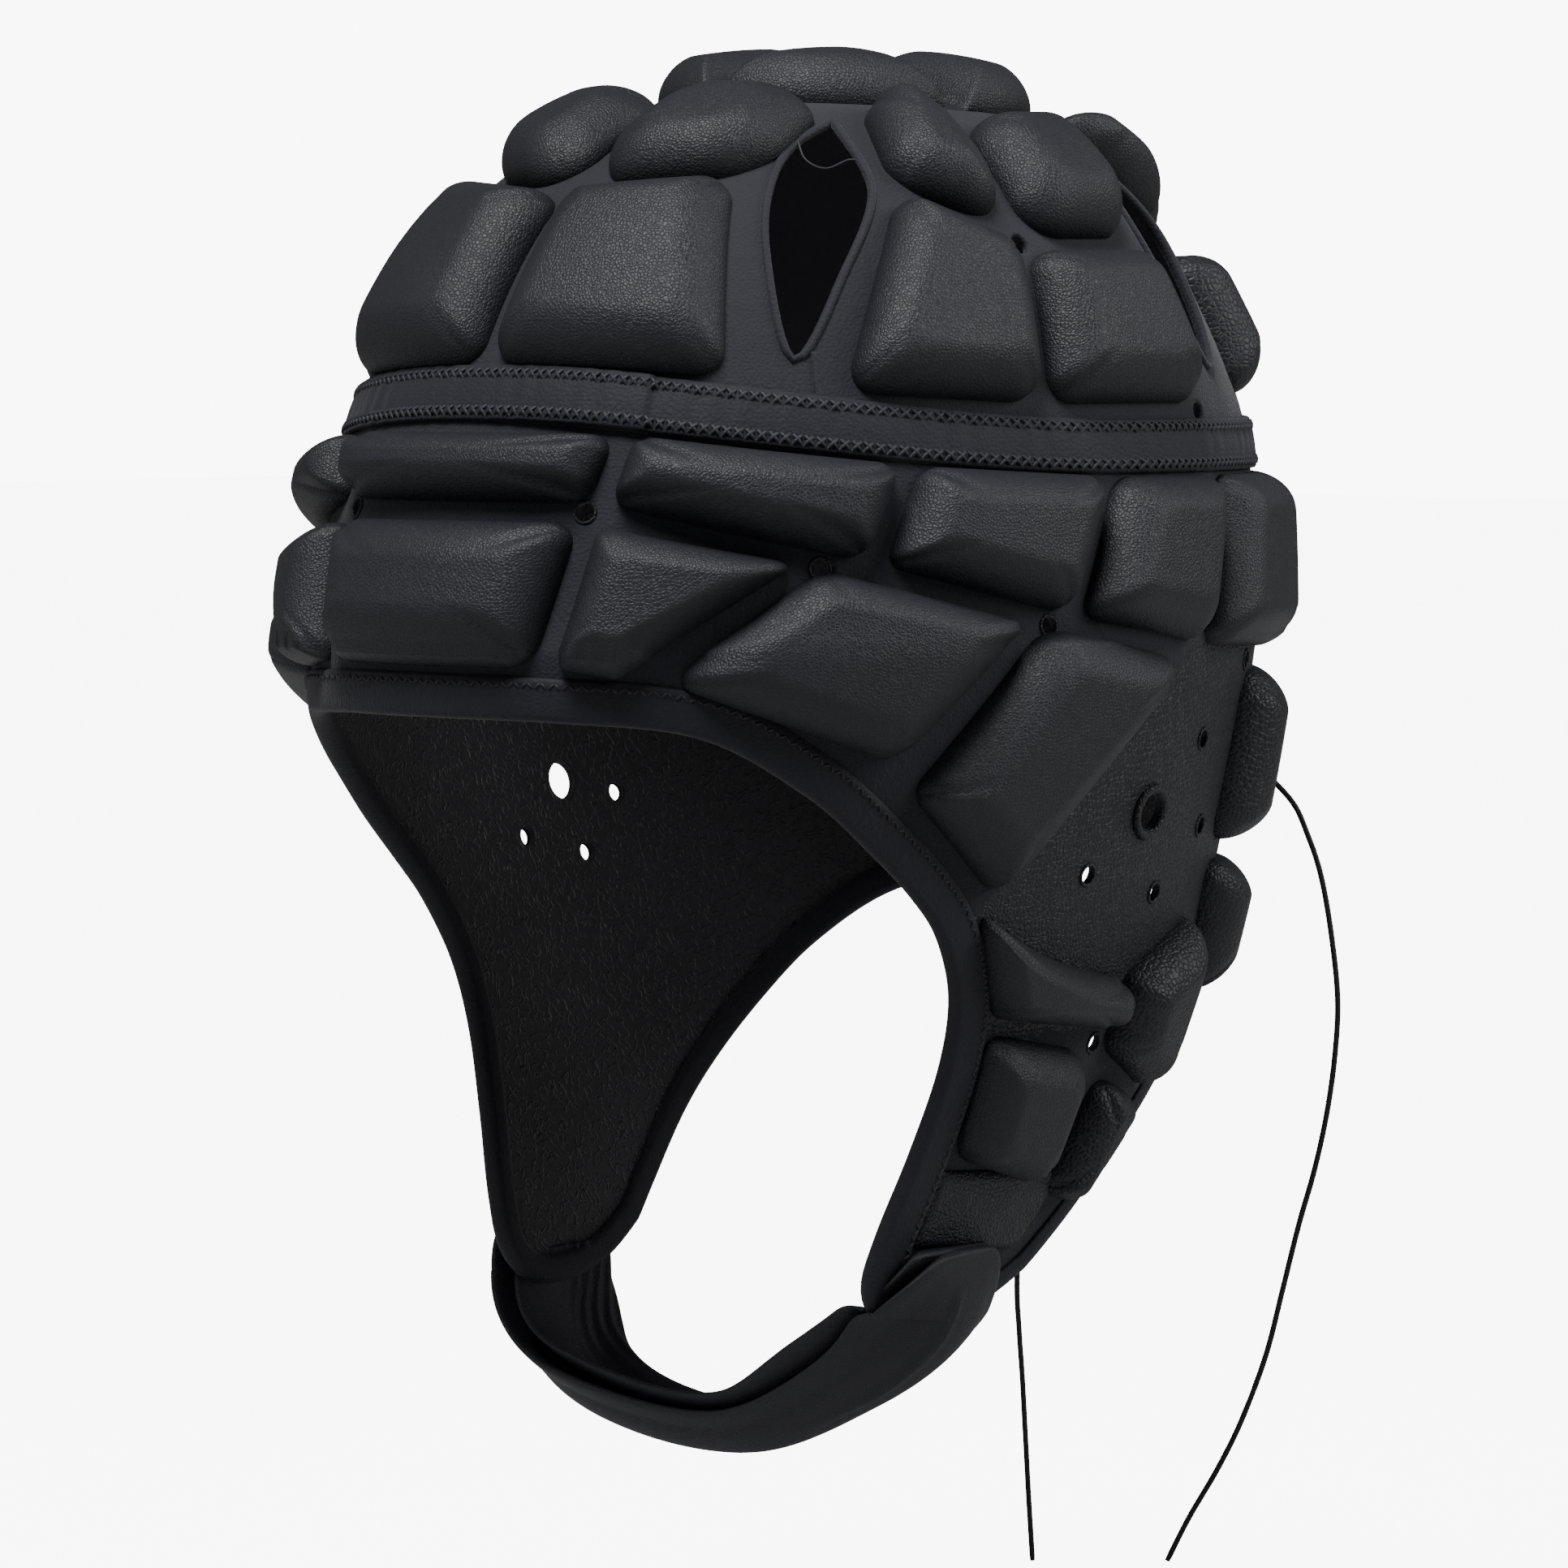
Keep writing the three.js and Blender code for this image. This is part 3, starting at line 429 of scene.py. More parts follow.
# %% The lace ends
LACE_DIAMETER = 1.2
lace_routes = {
    # x, y, z of the points that each end hangs through, in millimetres
    "left": [
        (10.6, 95.9, -136.2), (12.2, 101, -136), (14.5, 107, -134.5), (18.5, 113, -132.5),
        (25, 117.5, -131.8), (33.4, 119.5, -138.5), (37.5, 120, -145.8), (40.8, 120, -153.9),
        (43.7, 119.5, -165.3), (46.1, 118.5, -178.3), (46.2, 117.5, -189.8), (45.4, 116, -201.3),
        (43.5, 114.5, -212.9), (41, 112.5, -224.5), (38.5, 110.5, -237.8), (35.9, 108.5, -251.1),
        (31.7, 106, -264.6), (27.5, 103.5, -274.8), (22.2, 101, -285.1), (18.2, 99, -294.2),
    ],
    "right": [
        (-10.6, 95.9, -136.2), (-12, 101, -136.6), (-14, 106, -137.5), (-17, 110, -140.5),
        (-20, 112, -146), (-22.5, 112.3, -154), (-24.3, 111.7, -163), (-25.6, 111, -173),
        (-26.5, 110.3, -184), (-27, 109.6, -195), (-27.1, 109, -206), (-27, 108.4, -217),
        (-27.8, 108, -241.4), (-27.2, 108, -252.5), (-26.3, 108, -262.7), (-25.4, 108, -275.5),
        (-24.5, 108, -288.3), (-23.5, 108, -300.8),
    ],
}
for side, route in lace_routes.items():
    line = smooth_line(route, 160)
    lace = tube_piece(f"lace_{side}", line, LACE_DIAMETER / 2, LACE)
    dress(lace, "cord", f"lace_end_{side}")
    print("lace", side, round(length_of(line), 1), "mm")

# %% [markdown]
# ## The form of the head
# The cap follows one rounded form, which could be sculpted or read from the solids. Here it
# is a formula of two numbers. A level is 1 at the top, 0 at the widest place and -1 at the
# ends of the cheeks; a turn is 0 at the face, 90 at the wearer's left ear and 180 behind.
# Every piece is placed by these two numbers, so pieces that touch agree.

# %% Form sizes and functions
SIDE, FRONT, BACK = 79.0, 112.0, 91.0
SECTION_BACK, CROWN_BACK = 9.0, 9.0
CROWN_HEIGHT, CHEEK_DROP = 103.5, 125.0
WALL = 2.5
WIDEST = WALL - CROWN_HEIGHT
SECTION, BROW_SECTION, PROFILE, WAIST = 2.1, 2.3, 2.5, 0.14


def smooth(x):
    """0 below 0, 1 above 1, and between them 3 x squared less 2 x cubed."""
    x = np.clip(x, 0, 1)
    return x * x * (3 - 2 * x)


def mix(a, b, t):
    """From a at 0 to b at 1, evenly."""
    return a + (b - a) * t


def powered(x, p):
    """The power of the size, with the sign kept."""
    return np.sign(x) * np.abs(x) ** p


def height_of(level):
    """The z of a level: the crown's height over the widest place, the cheeks' drop under it."""
    return WIDEST + level * np.where(level > 0, CROWN_HEIGHT, CHEEK_DROP)


def level_of(z):
    """The level of a z, the reverse of height_of."""
    return (z - WIDEST) / np.where(z > WIDEST, CROWN_HEIGHT, CHEEK_DROP)


def sizes_at(level):
    """Half width, reach forward and back, centre, crown draw-in and squareness at a level."""
    up, down = np.clip(level, 0, 1), np.clip(-level, 0, 1.4)
    side = SIDE * (1 - 0.4 * down**1.35)
    front = FRONT * (1 - 0.06 * down)
    back = BACK * (1 - 0.22 * down) * (1 - 0.13 * smooth((up - 0.35) / 0.35))
    centre = SECTION_BACK + CROWN_BACK * (1 - (1 - up) ** 2)
    drawn = 1 - WAIST * up * (1 - up)
    brow = mix(SECTION, BROW_SECTION, smooth(up / 0.4))
    return side, front, back, centre, drawn, brow, up


def roundness(across, along, power):
    """The root of the summed powers of both shares: 1 on the section's outline."""
    return (np.abs(across) ** power + np.abs(along) ** power) ** (1 / power)


def fullness(p):
    """1 on the cap's outside and less within: the powered sum of section and height."""
    side, front, back, centre, drawn, brow, up = sizes_at(level_of(p[..., 2]))
    along = p[..., 1] - centre
    ahead = along < 0
    reach = np.where(ahead, front, back)
    out = roundness(p[..., 0] / side, along / reach, np.where(ahead, brow, SECTION))
    return (out / drawn) ** PROFILE + up**PROFILE


def outward(p):
    """The unit slope of the fullness, by differences over a twentieth of a millimetre."""
    step = 0.05 * np.eye(3)
    return unit(np.stack([fullness(p + e) - fullness(p - e) for e in step], -1))


def place(turn, level, rho):
    """A point of the section at a level, drawn in by rho: powered sine and cosine of the
    turn, divided by their roundness, times half width and reach."""
    side, front, back, centre, _, brow, _ = sizes_at(level)
    a = np.radians(turn)
    across, along = powered(np.sin(a), 2 / SECTION), powered(np.cos(a), 2 / SECTION)
    reach = np.where(along > 0, front, back)
    r = rho / roundness(across, along, np.where(along > 0, brow, SECTION))
    x, y, z = side * r * across, centre - reach * r * along, height_of(level)
    return np.stack(np.broadcast_arrays(x, y, z), -1)


def by_level(turn, level):
    """A point of the cap's outside: the section at a level, shrunk as the crown closes."""
    up = np.clip(level, 0, 1)
    rho = (1 - up**PROFILE) ** (1 / PROFILE) * sizes_at(level)[4]
    return place(turn, level, rho)


def by_fall(turn, fall):
    """The same by turn and the fall from the top, an angle whose cosine gives the level."""
    f = np.radians(np.clip(fall, 0.01, 90))
    level = np.cos(f) ** (2 / PROFILE)
    return place(turn, level, np.sin(f) ** (2 / PROFILE) * sizes_at(level)[4])


def fall_of(level):
    """The fall in degrees whose powered cosine is the level."""
    return np.degrees(np.arccos(np.clip(level, 0, 1) ** (PROFILE / 2)))


def lifted(p, h):
    """Points moved out from the cap by h."""
    return p + outward(p) * np.asarray(h)[..., None]


def from_face(turn):
    """The turn's distance from the face, 0 to 180 to either side."""
    return np.abs((np.asarray(turn) + 180) % 360 - 180)


def tape_level(turn):
    """The seam's level: a wave that dips towards the ears and stays there behind them."""
    return 0.396 + 0.048 * np.cos(np.radians(2 * np.minimum(from_face(turn), 90)))


def ear_level(turn):
    """The channel over the ears, which falls from the brow to behind the ear."""
    return 0.251 - 0.295 * smooth((from_face(turn) - 10) / 105)


print("widest section", np.round(by_level(np.array([0, 90, 180]), np.zeros(3)), 1).tolist())

# %% [markdown]
# ## The edge of the lower panel
# One closed line runs along the brim, down the face opening, round each cheek's end and up
# the neck. A short table gives its turns and levels, and the place on the tape that the
# cloth hangs from.

# %% Edge line
edge = [
    # turn, level, turn at the tape
    (0, -0.084, 0), (20, -0.088, 18), (37, -0.11, 34), (50, -0.196, 47), (59, -0.29, 56),
    (65, -0.362, 63), (69, -0.425, 69), (72.2, -0.52, 75), (72.8, -0.63, 81),
    (71.3, -0.76, 86), (69.3, -0.88, 89.5), (69, -0.96, 92), (72.5, -1.01, 94.5),
    (79.5, -1.015, 97.5), (86.5, -0.985, 100.5), (95, -0.9, 104), (107.5, -0.764, 109.5),
    (123, -0.62, 118), (134, -0.528, 128), (147, -0.45, 142), (163, -0.408, 161),
    (180, -0.396, 180),
]
CHEEK_END = 12
EDGE_STEPS = 230
TO_TURNS = np.array([1, 100, 1, 1])


def edge_table():
    """The whole closed line: columns turn, level, turn at the tape and share of neck, the
    right half mirrored from the left. Levels are made about as large as turns for the
    smoothing."""
    rows = np.array(edge, float)
    share = smooth((np.arange(len(rows)) - CHEEK_END) / 2 + 0.5)
    rows = np.column_stack([rows, share])
    line = smooth_line(rows * TO_TURNS, EDGE_STEPS) / TO_TURNS
    other = line[-2:0:-1].copy()
    other[:, 0] = 360 - other[:, 0]
    other[:, 2] = 360 - other[:, 2]
    return np.concatenate([line, other])


edge_line = edge_table()
edge_points = by_level(edge_line[:, 0], edge_line[:, 1])
print("edge of the lower panel:", round(length_of(edge_points)), "mm round")

# %% [markdown]
# ## The two panels
# The cloth could be one surface with a Solidify modifier, but the outside and the lining
# need finishes of their own, so each panel is a thin wall between an outer and an inner
# grid. The crown is a dome over the tape. The lower panel's columns hang from the tape and
# bend to end on the edge line, so the cloth has no jagged edge.

# %% Panels
SEAM_GAP = 0.6
VISIBLE_WALL = 1.5


def wall_between(name, outer, inner, materials, patch=None):
    """A closed wall: outer and inner grids, joined along their first and last rows; the
    columns run all the way round. A patch marks the outer faces of the third material."""
    rows, columns = outer.shape[:2]
    layers = np.concatenate([outer, inner[::-1]])
    faces = grid_faces(2 * rows, columns, round_rows=True, round_columns=True)
    slots = np.zeros(len(faces), int)
    first = rows * columns
    slots[first : first + (rows - 1) * columns] = 1
    if patch is not None:
        slots[: (rows - 1) * columns] = np.where(patch[:-1], 2, 0).reshape(-1)
    return make_piece(name, layers, faces, materials, slots)


def crown_grids(rows=76, columns=420):
    """Outer and inner dome: falls from the top to just over the tape's middle."""
    turn = np.linspace(0, 360, columns, endpoint=False)
    rim = fall_of(tape_level(turn) + SEAM_GAP / 2 / CROWN_HEIGHT)
    fall = np.linspace(0, 1, rows)[:, None] * rim
    p = by_fall(np.broadcast_to(turn, fall.shape), fall)
    return p, lifted(p, np.full(fall.shape, -VISIBLE_WALL))


def on_ear_patch(turn, level):
    """Where the lower panel is bare leather: behind a slanting line by the cheekbone, before
    the rear pads, under the brow's channel and above the cheek."""
    aside = from_face(turn)
    behind_cheekbone = aside > 94.5 + 70 * (level + 0.06)
    under_brow = level < ear_level(aside) + 0.035
    return behind_cheekbone & (aside < 126) & under_brow & (level > -0.57)


def lower_grids(rows=64):
    """Rows from the tape to the edge: the turn moves from the tape's to the edge's with the
    share to the power 2.5, the level evenly."""
    share = np.linspace(0, 1, rows)[:, None]
    start = tape_level(edge_line[:, 2]) - SEAM_GAP / 2 / CROWN_HEIGHT
    turn = mix(edge_line[:, 2], edge_line[:, 0], share**2.5)
    level = mix(start, edge_line[:, 1], share)
    p = by_level(turn, level)
    return p, lifted(p, np.full(turn.shape, -VISIBLE_WALL)), on_ear_patch(turn, level)


crown = wall_between("crown_cloth", *crown_grids(), [CLOTH, CROWN_LINING])
weld(crown)
*lower_walls, ear_patch = lower_grids()
lower = wall_between("lower_cloth", *lower_walls, [CLOTH, LINING, EAR_LEATHER], ear_patch)
dress(crown, "cloth", "crown_panel")
dress(lower, "cloth", "lower_panel")
print("panel faces:", len(crown.data.polygons), len(lower.data.polygons))

# %% [markdown]
# ## Slits, vents and ear holes
# They are real openings, so they are cut through the walls. Each is a prism that runs out
# along the cap's own outward direction at the middle of its outline, and one exact Boolean
# cuts all of a panel's openings.

# %% Cutting
front_slit = [(46, 24), (39, 31), (37, 40), (38.5, 51), (44, 65), (50, 53), (53.5, 43), (52.5, 36)]
rear_slit = [(109, 32), (104, 41), (105, 53), (111, 66), (118, 57), (120, 46)]
crown_vents = [(76, 49.5), (103.5, 71)]
ear_holes = [(95, -0.258), (-93.8, -0.264)]
cheek_holes = [
    # turn, level: round the left ear hole, on the left cheek, round the right ear hole
    (86.5, -0.346), (100, -0.385), (110.2, -0.291), (105.4, -0.155), (93.7, -0.61),
    (-86.9, -0.348), (-96.2, -0.38), (-103, -0.288), (-105.4, -0.155),
]
brow_holes = [
    # turn, level: where channels meet, on both sides
    (20.3, 0.242), (49.1, 0.145), (76.8, 0.036), (118.5, -0.042),
]
EAR_HOLE, SMALL_HOLE = 7.8, 4.0


def frame_at(centre):
    """Outward, level and upward directions at points of the cap."""
    out = outward(centre)
    across = unit(np.cross([0.0, 0.0, 1.0], out))
    return out, across, np.cross(out, across)


def ring_round(centre, radius, sides):
    """A circle about a point of the cap, square to its outward direction."""
    out, across, up = frame_at(np.asarray(centre, float))
    a = np.linspace(0, 2 * np.pi, sides, endpoint=False)[:, None]
    return centre + radius * (np.cos(a) * across + np.sin(a) * up)


def prism(outline, depth=7.0):
    """Points and faces of a prism through the wall: the outline moved in and out by the
    depth, closed by fans to its end centres."""
    centre = outline.mean(0)
    out = outward(centre)
    n = len(outline)
    points = np.concatenate([outline - depth * out, outline + depth * out])
    points = np.concatenate([points, [centre - depth * out, centre + depth * out]])
    i = np.arange(n)
    k = (i + 1) % n
    walls = np.stack([i, k, n + k, n + i], -1)
    low = np.stack([np.full(n, 2 * n), k, i], -1)
    high = np.stack([np.full(n, 2 * n + 1), n + i, n + k], -1)
    return points, (walls, low, high)


def cut_with(piece, outlines):
    """Cuts all the outlines' prisms out of the piece at once."""
    points, faces, start = [], [], 0
    for outline in outlines:
        p, parts = prism(outline)
        points.append(p)
        for part in parts:
            faces += (part + start).tolist()
        start += len(p)
    mesh = bpy.data.meshes.new("cutter")
    mesh.from_pydata(np.concatenate(points) * MM, [], faces)
    cutter = bpy.data.objects.new("cutter", mesh)
    bpy.context.scene.collection.objects.link(cutter)
    modifier = piece.modifiers.new("cut", "BOOLEAN")
    modifier.operation, modifier.solver, modifier.object = "DIFFERENCE", "EXACT", cutter
    bpy.context.view_layer.objects.active = piece
    bpy.ops.object.modifier_apply(modifier=modifier.name)
    bpy.data.objects.remove(cutter)
    piece.data.polygons.foreach_set("use_smooth", np.ones(len(piece.data.polygons), bool))


def slit_outline(rows, side):
    """A slit's smooth closed outline, from its corners in turn and fall; the right one runs
    the other way round, so both prisms have their faces outwards."""
    corners = np.array(rows, float)
    line = smooth_line(np.concatenate([corners, corners[:1]]), 61)[:-1]
    return by_fall(side * line[:, 0], line[:, 1])[::side]


slits = [slit_outline(rows, side) for rows in (front_slit, rear_slit) for side in (1, -1)]
vents = [ring_round(by_fall(s * t, f), SMALL_HOLE / 2, 20) for t, f in crown_vents for s in (1, -1)]
small_places = cheek_holes + [(s * t, v) for t, v in brow_holes for s in (1, -1)]
holes = [ring_round(by_level(t, v), SMALL_HOLE / 2, 20) for t, v in small_places]
ears = [ring_round(by_level(t, v), EAR_HOLE / 2, 36) for t, v in ear_holes]
cut_with(crown, slits + vents)
cut_with(lower, holes + ears)
print("after cutting:", len(crown.data.polygons), len(lower.data.polygons))

# %% [markdown]
# ## Slit lips
# The cloth is turned in round the front and rear slits and sewn down, so a soft lip stands
# up along each. In front its two sides run on below the slit as one seam, and a thread has
# come loose at the top. All are tubes: round for the lips, as a turned edge is.

# %% Lips, seams and the loose thread
LIP_RADIUS, LIP_SINK = 0.85, 0.1
SEAM_RADIUS, LOOSE_RADIUS = 0.6, 0.22


def closed_tube(line, radius, sides=10):
    """A tube along a closed line: circles of the radius, square to it and to the cap."""
    along = unit(np.roll(line, -1, axis=0) - np.roll(line, 1, axis=0))
    out = outward(line)
    side = unit(np.cross(along, out))
    a = np.linspace(0, 2 * np.pi, sides, endpoint=False)[None, :, None]
    return line[:, None] + radius * (np.cos(a) * side[:, None] + np.sin(a) * out[:, None])


lips = [closed_tube(outline - LIP_SINK * outward(outline), LIP_RADIUS) for outline in slits]
rows, columns = lips[0].shape[:2]
faces = grid_faces(rows, columns, round_rows=True, round_columns=True)
faces = repeat_faces(faces, rows * columns, len(lips))
slit_lips = make_piece("slit_lips", np.stack(lips), faces, [CLOTH])
dress(slit_lips, "cloth")

seam_route = np.array([(46.2, 64), (46.6, 66), (47, 68), (47.6, 70.5)])
for side, tail in ((1, "left"), (-1, "right")):
    line = smooth_line(by_fall(side * seam_route[:, 0], seam_route[:, 1]), 24)
    dress(tube_piece(f"slit_seam_{tail}", line, SEAM_RADIUS, CLOTH), "cloth")
thread_route = np.array(
    # turn, fall, height over the cloth
    [(39.6, 30.5, 0.6), (42, 33.5, -1), (46, 35, -1.5), (50, 34, -0.5), (52.4, 35.5, 0.6)]
)
line = smooth_line(lifted(by_fall(thread_route[:, 0], thread_route[:, 1]), thread_route[:, 2]), 40)
dress(tube_piece("loose_thread", line, LOOSE_RADIUS, THREAD, sides=8), "cloth")
print("lips:", len(lips), "thread", round(length_of(line), 1), "mm")

# %% [markdown]
# ## Pad cells
# The real pads are foam cells pressed into one sheet, with channels between them. Each cell
# is four corners, placed so that neighbours share them: against the tape, the channel over
# the ears, the brim, the face and the neck. The crown's cells are given by turn and fall,
# the others by turn and level, because falls stay even over the top.

# %% Pad cells
CHANNEL, PINCH = 4.0, 0.8
TAPE_WIDTH = 10.0
BINDING_WIDTH, NECK_BINDING_WIDTH = 6.4, 2.6
BRIM_SLANT, NECK_SLANT = 1.15, 1.3


def along_edge(given, wanted, x, first, last):
    """Reads one column of the edge table from another, between two of its rows."""
    rows = np.array(edge, float)[first : last + 1]
    order = np.argsort(rows[:, given])
    return float(np.interp(x, rows[order, given], rows[order, wanted]))


def per_turn(turn, level):
    """Millimetres to one degree of turn: the step between half a degree to both sides."""
    return float(np.linalg.norm(by_level(turn - 0.5, level) - by_level(turn + 0.5, level)))


def under_tape(turn):
    """A corner whose pad stands a pinch below the tape."""
    reach = TAPE_WIDTH / 2 + PINCH - CHANNEL / 2
    return (turn, float(tape_level(turn)) - reach / CROWN_HEIGHT)


def on_ear_line(turn):
    """A corner in the middle of the channel over the ears."""
    return (turn, float(ear_level(turn)))


def over_brim(turn, more=0.0):
    """A corner whose pad stands a pinch above the brim's binding, or more."""
    reach = BRIM_SLANT * (BINDING_WIDTH + PINCH) - CHANNEL / 2
    return (turn, along_edge(0, 1, abs(turn), 0, 6) + reach / CHEEK_DROP + more)


def by_face(level, more=0.0):
    """A corner whose pad stands a pinch behind the face opening's binding, or more."""
    turn = along_edge(1, 0, level, 4, CHEEK_END)
    reach = BINDING_WIDTH + PINCH - CHANNEL / 2
    return (turn + reach / per_turn(turn, level) + more, level)


def over_neck(turn):
    """A corner whose pad stands a pinch above the neck's binding."""
    reach = NECK_SLANT * (NECK_BINDING_WIDTH + PINCH) - CHANNEL / 2
    return (turn, along_edge(0, 1, turn, CHEEK_END + 1, len(edge) - 1) + reach / CHEEK_DROP)


crown_cells = {
    # corners clockwise from the upper left (turn, fall), corner radius, shoulder width
    "front_crown": ([(0, 41.5), (32.5, 39), (37, 68), (0, 66.5)], 4.5, 8.5),
    "temple_crown": ([(56, 41), (75.5, 50), (75.5, 71), (49, 69.5)], 5, 7.5),
    "side_crown": ([(75.5, 50), (98, 49.5), (103, 71), (75.5, 71)], 5, 7.5),
    "rear_crown": ([(125, 50), (157, 50), (157, 70), (122, 70)], 5, 7.5),
    "front_leaf": ([(0, 18.5), (48, 20), (36, 39.5), (0, 41.5)], 11, 9),
    "temple_leaf": ([(50, 19.5), (71, 18), (76.5, 49), (56, 41)], 8, 8),
    "side_leaf": ([(72.5, 25), (101, 24), (99, 49.5), (76.5, 50)], 8, 8),
    "rear_leaf": ([(101, 24), (138, 24), (140, 49.5), (116, 34)], 7, 7.5),
    "back_leaf": ([(138, 24), (180, 24), (180, 49.5), (140, 49.5)], 7, 7.5),
}
crown_middle = {"nape_crown": ([(157, 50), (203, 50), (203, 70), (157, 70)], 5, 7.5)}
side_cells = {
    # the same by turn and level
    "temple_brow": ([under_tape(24.5), under_tape(59), on_ear_line(55), on_ear_line(22)], 4, 7),
    "side_brow": ([under_tape(59), under_tape(84.5), on_ear_line(79.5), on_ear_line(55)], 4, 7.5),
    "ear_brow": ([under_tape(84.5), under_tape(104.5), on_ear_line(100), on_ear_line(79.5)], 4, 7.5),
    "rear_brow": ([under_tape(104.5), under_tape(127), on_ear_line(127), on_ear_line(100)], 4, 7),
    "back_brow": ([under_tape(127), under_tape(157), on_ear_line(157), on_ear_line(127)], 4, 7),
    "front_cheekbone": ([on_ear_line(21.5), on_ear_line(49), over_brim(28), over_brim(17.8)], 3, 6.5),
    "side_cheekbone": (
        [on_ear_line(49), on_ear_line(76), over_brim(59.5, 0.07), over_brim(31, 0.004)], 4.5, 9,
    ),
    "ear_cheekbone": ([on_ear_line(76), on_ear_line(96), (74, -0.388), over_brim(60, 0.045)], 4.5, 9),
    "ear_back": ([on_ear_line(117), on_ear_line(156), (156, -0.336), (115.5, -0.336)], 6, 7.5),
    "neck_back": ([(116, -0.344), (140, -0.344), over_neck(139), over_neck(124)], 5, 6.5),
    "upper_cheek": ([by_face(-0.366, 3), (97, -0.5), (95.5, -0.6), by_face(-0.556, 0.8)], 4, 6.5),
    "rear_cheek": ([(97, -0.5), (115, -0.415), over_neck(111.5), (95.2, -0.625)], 4.5, 7),
    "lower_cheek": ([by_face(-0.556, 0.6), (92, -0.606), (89, -0.838), by_face(-0.772, 0.9)], 4.5, 6.5),
    "end_cheek": ([(95.5, -0.65), (107.5, -0.695), over_neck(96), (88.5, -0.84)], 4, 5.5),
}
middle_cells = {
    "front_brow": ([under_tape(-24.5), under_tape(24.5), on_ear_line(22), on_ear_line(-22)], 4, 7),
    "nape_brow": ([under_tape(157), under_tape(203), on_ear_line(203), on_ear_line(157)], 4, 7),
    "front_band": ([on_ear_line(-21.5), on_ear_line(21.5), over_brim(17.8), over_brim(-17.8)], 5, 9),
}
SAGS = {"upper_cheek": 0.16}
COARSE = {"rear_cheek", "end_cheek", "rear_crown", "back_leaf", "nape_crown", "neck_back", "ear_back"}
CHANNELS = {"rear_cheek": 1.2, "upper_cheek": 2.2, "neck_back": 2.6, "end_cheek": 2.6}
CROWN_CHANNEL, SIDE_CHANNEL = 3.3, 3.9
print("cells on each side:", len(crown_cells) + len(side_cells))
print("cells in the middle:", len(crown_middle) + len(middle_cells))

# %% [markdown]
# ## Pad surface
# A pad is foam moulded under leather: steep at its foot, rounded over a shoulder, nearly
# flat on top, with soft ridges where two shoulders meet. Sculpting would give one pad; here
# the height follows the distance to the nearest side, so one formula makes them all. The
# outline is the cell drawn in by half a channel and rounded at its corners.

# %% Pad surface
PAD_RISE, PAD_FOOT = 8.4, 0.05
FACET, SHOULDER = 1.5, 1.75
RIDGE, RIDGE_SHARE = 0.7, 0.25
FULL_REACH, REACH_SHARE = 6, 0.42
DENT_SHARE, DENT_SIZE = 0.035, 9


def rounded_square(x, y, radius_x, radius_y):
    """Squares about the middle become squares with round corners: a point keeps its ring and
    slides along it onto straight sides joined by quarter circles."""
    ring = np.maximum(np.abs(x), np.abs(y))
    safe = np.maximum(ring, 1e-9)
    wide = np.abs(x) >= np.abs(y)
    share = np.where(wide, np.abs(y), np.abs(x)) / safe
    radius = np.where(wide, radius_y, radius_x)
    straight = 1 - radius
    bend = np.clip(share - straight, 0, None) / radius * np.pi / 4
    along = np.minimum(share, straight) + radius * np.sin(bend)
    other = np.where(wide, radius_x, radius_y)
    across = 1 - other + other * np.cos(bend)
    u = np.where(wide, across, along) * ring * np.sign(x)
    v = np.where(wide, along, across) * ring * np.sign(y)
    return u, v


def dents(p, seed):
    """Slow unevenness of hand-moulded foam: the mean of three sine waves through space,
    whose directions are drawn from the seed."""
    way = np.random.default_rng(seed).normal(size=(3, 3)) / DENT_SIZE
    return np.sin(p @ way.T + seed).sum(-1) / 3


def shoulder_height(near, reach):
    """Share of the full height at a distance from the foot: 1 less q to the facet's power,
    to one over the shoulder's, where q falls from 1 at the foot to 0 at the reach."""
    q = 1 - np.clip(near / reach, 0, 1)
    return (1 - q**FACET) ** (1 / SHOULDER)


